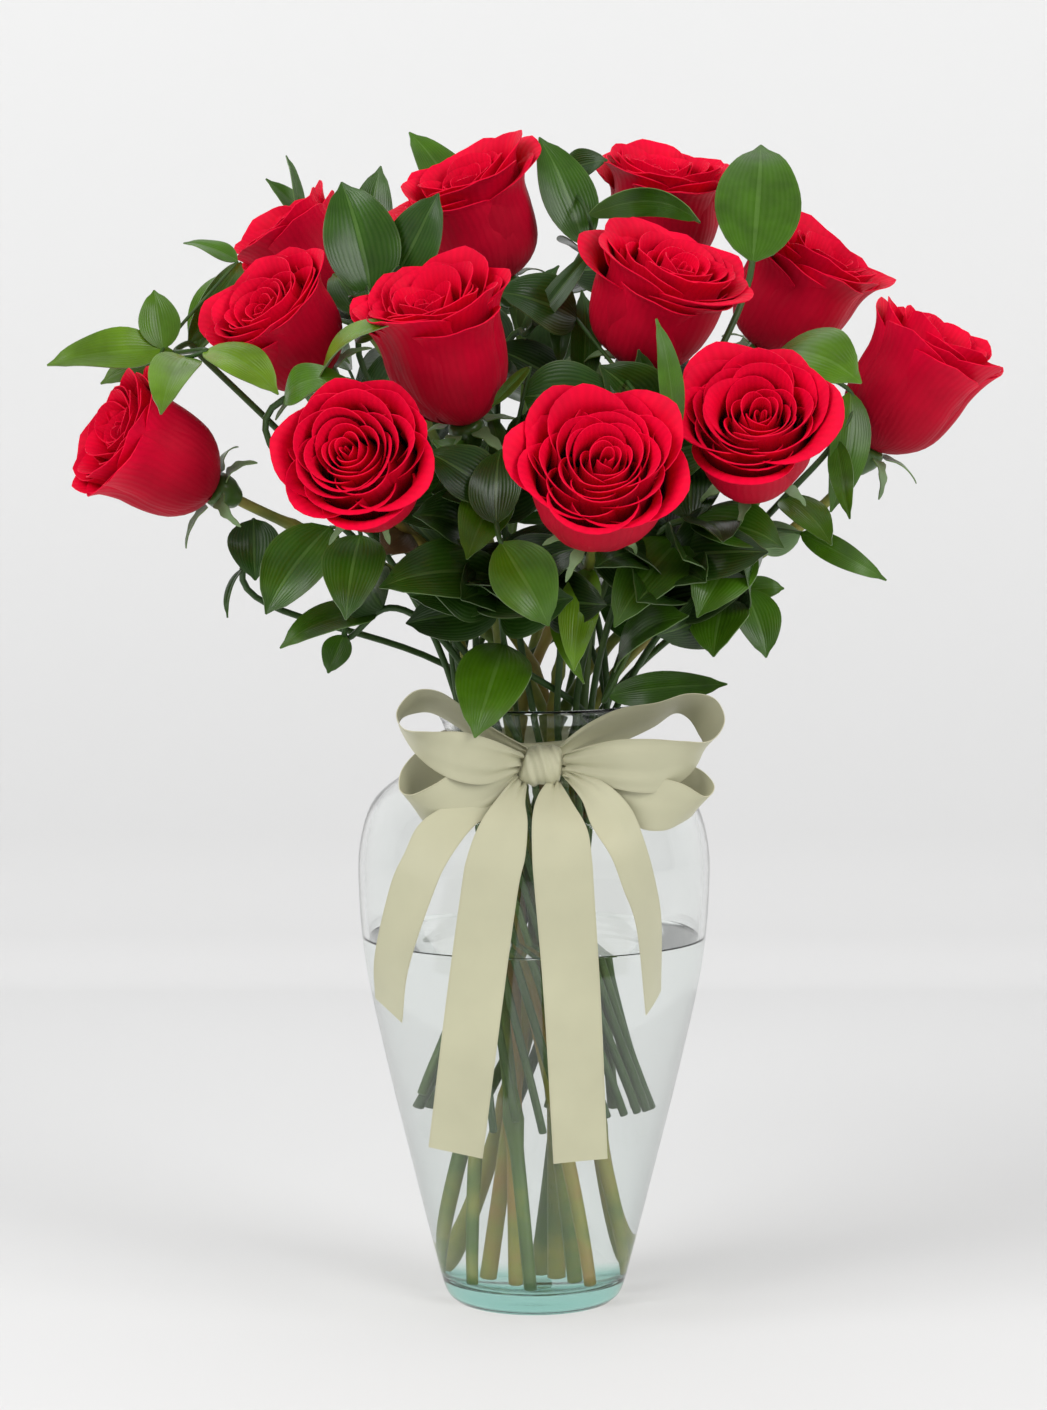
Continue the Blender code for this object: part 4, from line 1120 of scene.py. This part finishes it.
# Both sides of a petal darken strongly towards its base: painted shade in the heart of the bloom, laid over
# the petal's own red.
red_inner_shaded_base = ramp(red_tree, red_along, [
    (0.0, (0.08, 0.0001, 0.002)), (0.45, (0.34, 0.0002, 0.008)), (0.80, (0.76, 0.0004, 0.024)),
    (1.0, (0.86, 0.0010, 0.038))])
red_outer_shaded_base = ramp(red_tree, red_along, [
    (0.0, (0.30, 0.0040, 0.016)), (0.35, (0.40, 0.0010, 0.017)), (0.8, (0.56, 0.0006, 0.024)),
    (1.0, (0.78, 0.0012, 0.036))])
red_vein = use_group(red_tree, lines, Across=attribute(red_tree, "across"), Along=red_along, Count=9.0,
                     Wander=0.9)
red_side = mix_colour(red_tree, attribute(red_tree, "front"), red_inner_shaded_base, red_outer_shaded_base)
red_lined = mix_colour(red_tree, math_node(red_tree, "MULTIPLY", red_vein.outputs[0], 0.12), red_side,
                       (0.30, 0.001, 0.010))
red_drift = use_group(red_tree, drift, Colour=red_lined, Scale=60.0, Darker=0.86, Lighter=1.12)
red_tree.links.new(red_drift.outputs[0], red_shader.inputs["Base Color"])
put_bump(red_tree, red_shader, red_vein.outputs[0], 0.00025, 0.35)
print("finish:", velvet_red.name)

# %% Build the blooms, sepals and stems
SEPALS = 5
SEPAL_ROWS, SEPAL_COLUMNS = 12, 5
SEPAL_THICKNESS = 0.0005
SEPAL_TINT, CUP_TINT = 0.75, 0.3
ROSE_LEAF_TINT = 0.8
ROSE_LEAF_BRONZE = {6: 0.85}   # the leaf of this rose has kept some of its young, bronze colour
CUP = [(0.0, 0.001), (0.0062, 0.0006), (0.0078, -0.002), (0.0074, -0.006), (0.0056, -0.0095),
       (0.0036, -0.0125), (0.0, -0.0135)]
HIP_DROP = 0.009


def calyx_shapes(base, axes, seed):
    """The green cup under the bloom, and five narrow sepals that curl back from it."""
    rng = np.random.default_rng(seed)
    points, faces, _ = turned(smooth_line(CUP, 20), 16)
    cup = (points @ axes + base, faces,
           {"front": np.ones(len(points)), "tint": np.full(len(points), CUP_TINT)})
    angle = np.arange(SEPALS) * 2 * math.pi / SEPALS + rng.normal(0, 0.15, SEPALS)
    out = np.stack([np.cos(angle), np.sin(angle), np.zeros(SEPALS)], -1)
    around = np.stack([-np.sin(angle), np.cos(angle), np.zeros(SEPALS)], -1)
    v = np.linspace(0, 1, SEPAL_ROWS)[None, :, None]
    u = np.linspace(-1, 1, SEPAL_COLUMNS)[None, None, :]
    lean = np.radians(rng.uniform(60, 100, (SEPALS, 1, 1)) + rng.uniform(30, 95, (SEPALS, 1, 1)) * v)
    length = rng.uniform(0.018, 0.024, (SEPALS, 1, 1))
    run_out = np.cumsum(np.sin(lean), axis=1) / SEPAL_ROWS * length
    run_up = np.cumsum(np.cos(lean), axis=1) / SEPAL_ROWS * length
    half = 0.0034 * (1 - v) ** 0.75 * (1 + 0.25 * np.sin(16 * v)) + 0.0002
    flat = (0.0066 + run_out)[..., None] * out[:, None, None] + (u * half)[..., None] * around[:, None, None]
    flat = flat + (-0.002 + run_up + 0.15 * np.abs(u) * half)[..., None] * np.array([0.0, 0.0, 1.0])
    tint = np.full((SEPALS, 1, 1), SEPAL_TINT)
    return cup, sheets(flat @ axes + base, SEPAL_THICKNESS, {"tint": tint})


def rose_line(base, axis, slot):
    """The middle line of a rose's stem, from the vase floor up to its hip."""
    return stem_line(rose_waist(slot), STEM_FOOT, base - axis * HIP_DROP, axis, 0.35, 0.3)


def rose_stem_shape(number, base, axis, slot):
    """The stem, with a slight swelling at each leaf joint."""
    rng = np.random.default_rng(500 + number)
    line = smooth_line(rose_line(base, axis, slot), 90)
    run = np.linspace(0, 1, len(line))
    joints = rng.uniform(0.12, 0.9, 5)
    swell = np.exp(-((run[:, None] - joints) / 0.012) ** 2).sum(axis=1)
    radius = ROSE_STEM_RADIUS * (1.0 - 0.18 * run + 0.28 * swell)
    return tube(line, radius, 12, {"tint": ROSE_STEM_TINTS[number - 1]})


for number, (centre, axis, radius, height, slot, opening) in enumerate(ROSES, 1):
    axis = unit(axis)
    base = mm(centre) - axis * height * 0.0005
    axes = facing_axes(axis, 1.9 * number)
    grids, ring = bloom_grids(radius * 0.001, height * 0.001, opening, 40 + number)
    petals = sheets(grids @ axes + base, PETAL_THICKNESS, {"ring": ring[:, None, None]})
    mesh_piece(f"rose_petals_{number:02d}", petals, velvet_red, f"rose_bloom_{number:02d}", 1.2)
    node = f"rose_stem_{number:02d}"
    mesh_piece(node + "_bark", rose_stem_shape(number, base, axis, slot), green_bark, node)
    cup, sepals = calyx_shapes(base, axes, 70 + number)
    greens = [cup, sepals]
    for owner, leaf_base, leaf_tip, width, roll, arch in ROSE_LEAVES:
        if owner == number:
            line = rose_line(base, axis, slot)
            joint = line[np.argmin(np.linalg.norm(line - mm(leaf_base), axis=1))]
            grid = leaf_grids(joint[None], mm(leaf_tip)[None], np.array([width * 0.001]),
                              np.radians([roll]), np.array([arch]), FRONT_UP, 900 + number)
            tint = np.full((1, 1, 1), ROSE_LEAF_TINT)
            bronze = ROSE_LEAF_BRONZE.get(number, 0.0)
            greens.append(sheets(grid, LEAF_THICKNESS, {"tint": tint, "bronze": bronze}))
    mesh_piece(node + "_calyx", merged(greens), leaf_gloss, node)
print("roses:", len(ROSES))

# %% [markdown]
# ## Satin bow
# The ribbon is 25 mm satin. A bow is one length of it, but the knot hides every join, so it can be
# made as four loops, four tails, the band round the neck and the knot. Each loop is a strip drawn
# between its two edges: the upper edge and the lower edge pass through a few listed places, and
# the cloth between them is straight across, with gathers where the knot pinches it. The loops open
# towards the front, so part of their shaded inside shows.

# %% Ribbon strip
RIBBON_WIDTH = 0.025
RIBBON_THICKNESS = 0.0004
RIBBON_COLUMNS = 15
GATHER_DEPTH = 0.0011
GATHER_FADE = 0.09   # share of the strip over which the gathers fade away


def ribbon_strip(first_edge, second_edge, rows, pinch_end, seed):
    """A strip between two edges. Point (v, c) is E1(v) + c (E2(v) - E1(v)) + n g(v) f(c).

    g fades away from the pinched ends, and f is a sum of two cosines: the gathers. The strip
    always starts at the knot, and pinch_end is 1 where it ends there too.
    """
    rng = np.random.default_rng(seed)
    edge_one = smooth_line(mm(first_edge), rows)[:, None]
    edge_two = smooth_line(mm(second_edge), rows)[:, None]
    c = np.linspace(0, 1, RIBBON_COLUMNS)[None, :, None]
    grid = edge_one + (edge_two - edge_one) * c
    normal = unit(np.cross(np.gradient(grid, axis=1), np.gradient(grid, axis=0)))
    v = np.linspace(0, 1, rows)[:, None]
    gather = np.exp(-v / GATHER_FADE) + pinch_end * np.exp(-(1 - v) / GATHER_FADE)
    folds = np.cos(2 * math.pi * (2.2 * c[..., 0] + rng.uniform())) + 0.5 * np.cos(
        2 * math.pi * (3.7 * c[..., 0] + rng.uniform()))
    slow = 0.35 * np.sin(2 * math.pi * (1.1 * v + rng.uniform())) * np.sin(math.pi * c[..., 0])
    lift = GATHER_DEPTH * (gather * folds + slow)
    grid = grid + normal * lift[..., None]
    middle = grid[:, RIBBON_COLUMNS // 2]
    run = np.concatenate([[0], np.cumsum(np.linalg.norm(np.diff(middle, axis=0), axis=1))])
    shape = sheets(grid[None], RIBBON_THICKNESS, {
        "run": run[None, :, None], "side": c[..., 0][None] * RIBBON_WIDTH})
    return shape, float(run[-1])


LOOPS = {
    "ribbon_loop_upper_left": (
        [(-3, -62, 254), (-18, -66, 263), (-30, -72, 272), (-41, -76, 279), (-51, -78, 279), (-58, -82, 271),
         (-55, -88, 264), (-44, -91, 263), (-31, -91, 263), (-18, -84, 259), (-5, -71, 252)],
        [(-4, -60, 247), (-20, -56, 252), (-33, -55, 262), (-44, -54, 268), (-52, -57, 268), (-57, -62, 266),
         (-57, -67, 262), (-49, -76, 251), (-36, -84, 243), (-21, -80, 240), (-7, -70, 245)]),
    "ribbon_loop_lower_left": (
        [(-4, -62, 250), (-20, -66, 256), (-36, -68, 257), (-48, -71, 254), (-56, -76, 246), (-57, -82, 238),
         (-52, -86, 236), (-43, -86, 240), (-33, -82, 245), (-20, -77, 244), (-7, -70, 246)],
        [(-5, -60, 243), (-22, -58, 238), (-38, -58, 235), (-46, -59, 234), (-50, -61, 231), (-50, -65, 227),
         (-47, -70, 223), (-39, -77, 219), (-29, -79, 222), (-18, -76, 228), (-8, -69, 241)]),
    "ribbon_loop_upper_right": (
        [(11, -62, 255), (22, -66, 264), (36, -70, 271), (52, -74, 274), (65, -77, 278), (76, -79, 276),
         (80, -83, 267), (74, -87, 259), (62, -90, 259), (48, -91, 260), (32, -88, 259), (12, -71, 252)],
        [(11, -60, 247), (24, -55, 252), (38, -54, 256), (51, -54, 262), (60, -55, 268), (66, -57, 266),
         (70, -61, 260), (72, -67, 254), (66, -75, 244), (53, -82, 237), (35, -82, 238), (14, -70, 244)]),
    "ribbon_loop_lower_right": (
        [(11, -61, 250), (28, -66, 250), (48, -68, 250), (62, -70, 248), (71, -74, 245), (76, -79, 239),
         (72, -83, 235), (61, -84, 241), (45, -82, 244), (28, -78, 245), (12, -70, 246)],
        [(11, -60, 243), (30, -60, 232), (50, -60, 229), (61, -59, 228), (67, -61, 228), (68, -66, 226),
         (63, -72, 223), (54, -78, 220), (43, -79, 222), (32, -76, 233), (13, -69, 241)]),
}
TAILS = {
    "ribbon_tail_left_short": (
        [(-7, -67, 242), (-26, -77, 236), (-47, -84, 225), (-55, -86, 211), (-61, -84, 197), (-68, -74, 166),
         (-68, -70, 147)],
        [(-5, -68, 238), (-14, -76, 228), (-25, -84, 223), (-35, -92, 211), (-42, -95, 197), (-53, -94, 164),
         (-56, -91, 140)]),
    "ribbon_tail_left_long": (
        [(-7, -68, 243), (-14, -78, 236), (-23, -87, 224), (-28.5, -91, 210), (-31, -91, 196),
         (-37.5, -89, 148), (-45, -87, 86)],
        [(-3, -69, 239), (-4, -79, 232), (-3, -86, 224), (-4, -89, 210), (-7, -90, 196), (-13, -90, 152),
         (-22, -87, 81)]),
    "ribbon_tail_right_long": (
        [(7, -68, 242), (1.5, -78, 235), (-1, -86, 226), (-1, -90, 210), (0, -91, 196), (4, -91, 148),
         (8, -88, 79)],
        [(11, -69, 240), (16, -79, 232), (22, -88, 222), (24, -91, 210), (25, -91, 196), (28, -90, 148),
         (31, -87, 81)]),
    "ribbon_tail_right_short": (
        [(12, -68, 243), (20, -79, 233), (24, -87, 223), (32, -95, 211), (37, -97, 198), (43, -93, 180),
         (47, -90, 143)],
        [(14, -70, 246), (29, -80, 241), (40, -85, 231), (46, -84, 217), (51, -78, 199), (54, -72, 180),
         (54, -69, 150)]),
}

# %% Satin finish
THREAD_PITCH = 0.00042
SELVEDGE = 0.0009

satin, satin_tree, satin_shader = principled(
    "champagne_satin", Roughness=0.42, IOR=1.45, Specular_IOR_Level=0.4, Sheen_Weight=0.15,
    Sheen_Roughness=0.4, Sheen_Tint=(1.0, 0.98, 0.88))
satin_thread = use_group(satin_tree, lines, Across=attribute(satin_tree, "run"), Along=0.0,
                         Count=1 / THREAD_PITCH, Wander=0.3)
satin_side = attribute(satin_tree, "side")
satin_offset = math_node(satin_tree, "SUBTRACT", satin_side, RIBBON_WIDTH / 2)
satin_edge = math_node(satin_tree, "ABSOLUTE", satin_offset)
satin_selvedge = math_node(satin_tree, "GREATER_THAN", satin_edge, RIBBON_WIDTH / 2 - SELVEDGE)
satin_colour = mix_colour(satin_tree, math_node(satin_tree, "MULTIPLY", satin_thread.outputs[0], 0.22),
                          (0.530, 0.521, 0.358), (0.420, 0.411, 0.268))
satin_colour = mix_colour(satin_tree, math_node(satin_tree, "MULTIPLY", satin_selvedge, 0.35),
                          satin_colour, (0.460, 0.440, 0.300))
satin_drift = use_group(satin_tree, drift, Colour=satin_colour, Scale=28.0, Darker=0.94, Lighter=1.05)
satin_tree.links.new(satin_drift.outputs[0], satin_shader.inputs["Base Color"])
put_bump(satin_tree, satin_shader, satin_thread.outputs[0], 0.00015, 0.35)
print("finish:", satin.name)

# %% Build the bow
LOOP_ROWS, TAIL_ROWS = 84, 70
for seed, (name, (first_edge, second_edge)) in enumerate({**LOOPS, **TAILS}.items()):
    is_loop = name in LOOPS
    rows, pinch_end = (LOOP_ROWS, 1.0) if is_loop else (TAIL_ROWS, 0.0)
    shape, length = ribbon_strip(first_edge, second_edge, rows, pinch_end, 300 + seed)
    mesh_piece(name + "_cloth", shape, satin, name)
    print(name, "cut", round(length * 1000), "mm")

# %% [markdown]
# The knot is a short band of the same ribbon pulled over the middle of the bow and turned in at both
# sides. It is a barrel: a rounded square swept across, narrower at its two ends, with slanting folds
# raised along it. The band round the neck is the same ribbon gathered into a narrow collar.

# %% Knot and neck band
KNOT_CENTRE = (0.003, -0.064, 0.2465)
KNOT_HALF = (0.0088, 0.0105, 0.0085)
KNOT_COLUMNS, KNOT_TURN = 30, 64
BAND_ROWS, BAND_TURN = 40, 160
BAND_RADIUS = 0.042


def knot_shape():
    """Point (x, a) is centre + (x, D b(x) c(a), H b(x) s(a)), c and s the squared-off cosine and sine."""
    across = np.linspace(-1, 1, KNOT_COLUMNS)[:, None]
    angle = np.linspace(0, 2 * np.pi, KNOT_TURN, endpoint=False)[None, :]
    c = np.sign(np.cos(angle)) * np.abs(np.cos(angle)) ** 0.75
    s = np.sign(np.sin(angle)) * np.abs(np.sin(angle)) ** 0.75
    barrel = (1 - 0.16 * across**2) * (1 - 0.55 * smoothstep(0.90, 1.0, np.abs(across)))
    slant = across * 1.1 + 0.55 * np.sin(angle)
    folds = 0.055 * np.sin(6.5 * slant + 0.6) + 0.03 * np.sin(14 * slant + 1.2 * np.cos(angle))
    size = barrel * (1 + folds)
    lean = 0.0012 * np.sin(angle)
    x = across * KNOT_HALF[0] * (1 - 0.10 * np.sin(angle)) + lean
    rings = np.stack([x * np.ones_like(angle), KNOT_HALF[1] * size * c, KNOT_HALF[2] * size * s], -1)
    rings = rings + np.array(KNOT_CENTRE)
    index = np.arange(KNOT_COLUMNS * KNOT_TURN).reshape(KNOT_COLUMNS, KNOT_TURN)
    run = np.broadcast_to(angle * KNOT_HALF[2], index.shape)
    side = np.broadcast_to((across + 1) * RIBBON_WIDTH / 2, index.shape)
    return rings.reshape(-1, 3), ring_faces(index), {"run": run.ravel(), "side": side.ravel()}


def neck_band_shape():
    """A collar: ring (k, a) lies at r_k, z_k of a closed band outline, creased by a few waves."""
    outline = smooth_line([(0.0425, 0.2545), (0.0432, 0.2520), (0.0433, 0.2490), (0.0424, 0.2462),
                           (0.0412, 0.2452), (0.0402, 0.2470), (0.0402, 0.2520), (0.0412, 0.2545)],
                          BAND_ROWS)
    angle = np.linspace(0, 2 * np.pi, BAND_TURN, endpoint=False)[None, :]
    height = outline[:, 1:]
    crease = 0.00035 * np.sin((height - 0.25) * 2600 + 1.5 * np.sin(2 * angle) + 3 * angle)
    radius = outline[:, :1] + crease * smoothstep(0.0405, 0.0425, outline[:, :1])
    height = height + 0.0006 * np.sin(5 * angle + 0.7)
    rings = np.stack([radius * np.cos(angle), radius * np.sin(angle), height + 0 * angle], -1)
    index = np.arange(BAND_ROWS * BAND_TURN).reshape(BAND_ROWS, BAND_TURN)
    row_next = np.roll(index, -1, axis=0)
    column_next = np.roll(index, -1, axis=1)
    both_next = np.roll(row_next, -1, axis=1)
    faces = np.stack([index, row_next, both_next, column_next], -1).reshape(-1, 4)
    run = np.broadcast_to(angle * BAND_RADIUS, index.shape)
    side = np.broadcast_to(np.linspace(0, RIBBON_WIDTH, BAND_ROWS)[:, None], index.shape)
    return rings.reshape(-1, 3), faces, {"run": run.ravel(), "side": side.ravel()}


knot = mesh_piece("ribbon_knot_cloth", knot_shape(), satin, "ribbon_knot")
neck_band = mesh_piece("ribbon_band_cloth", neck_band_shape(), satin, "ribbon_neck_band")
print("knot and neck band done")
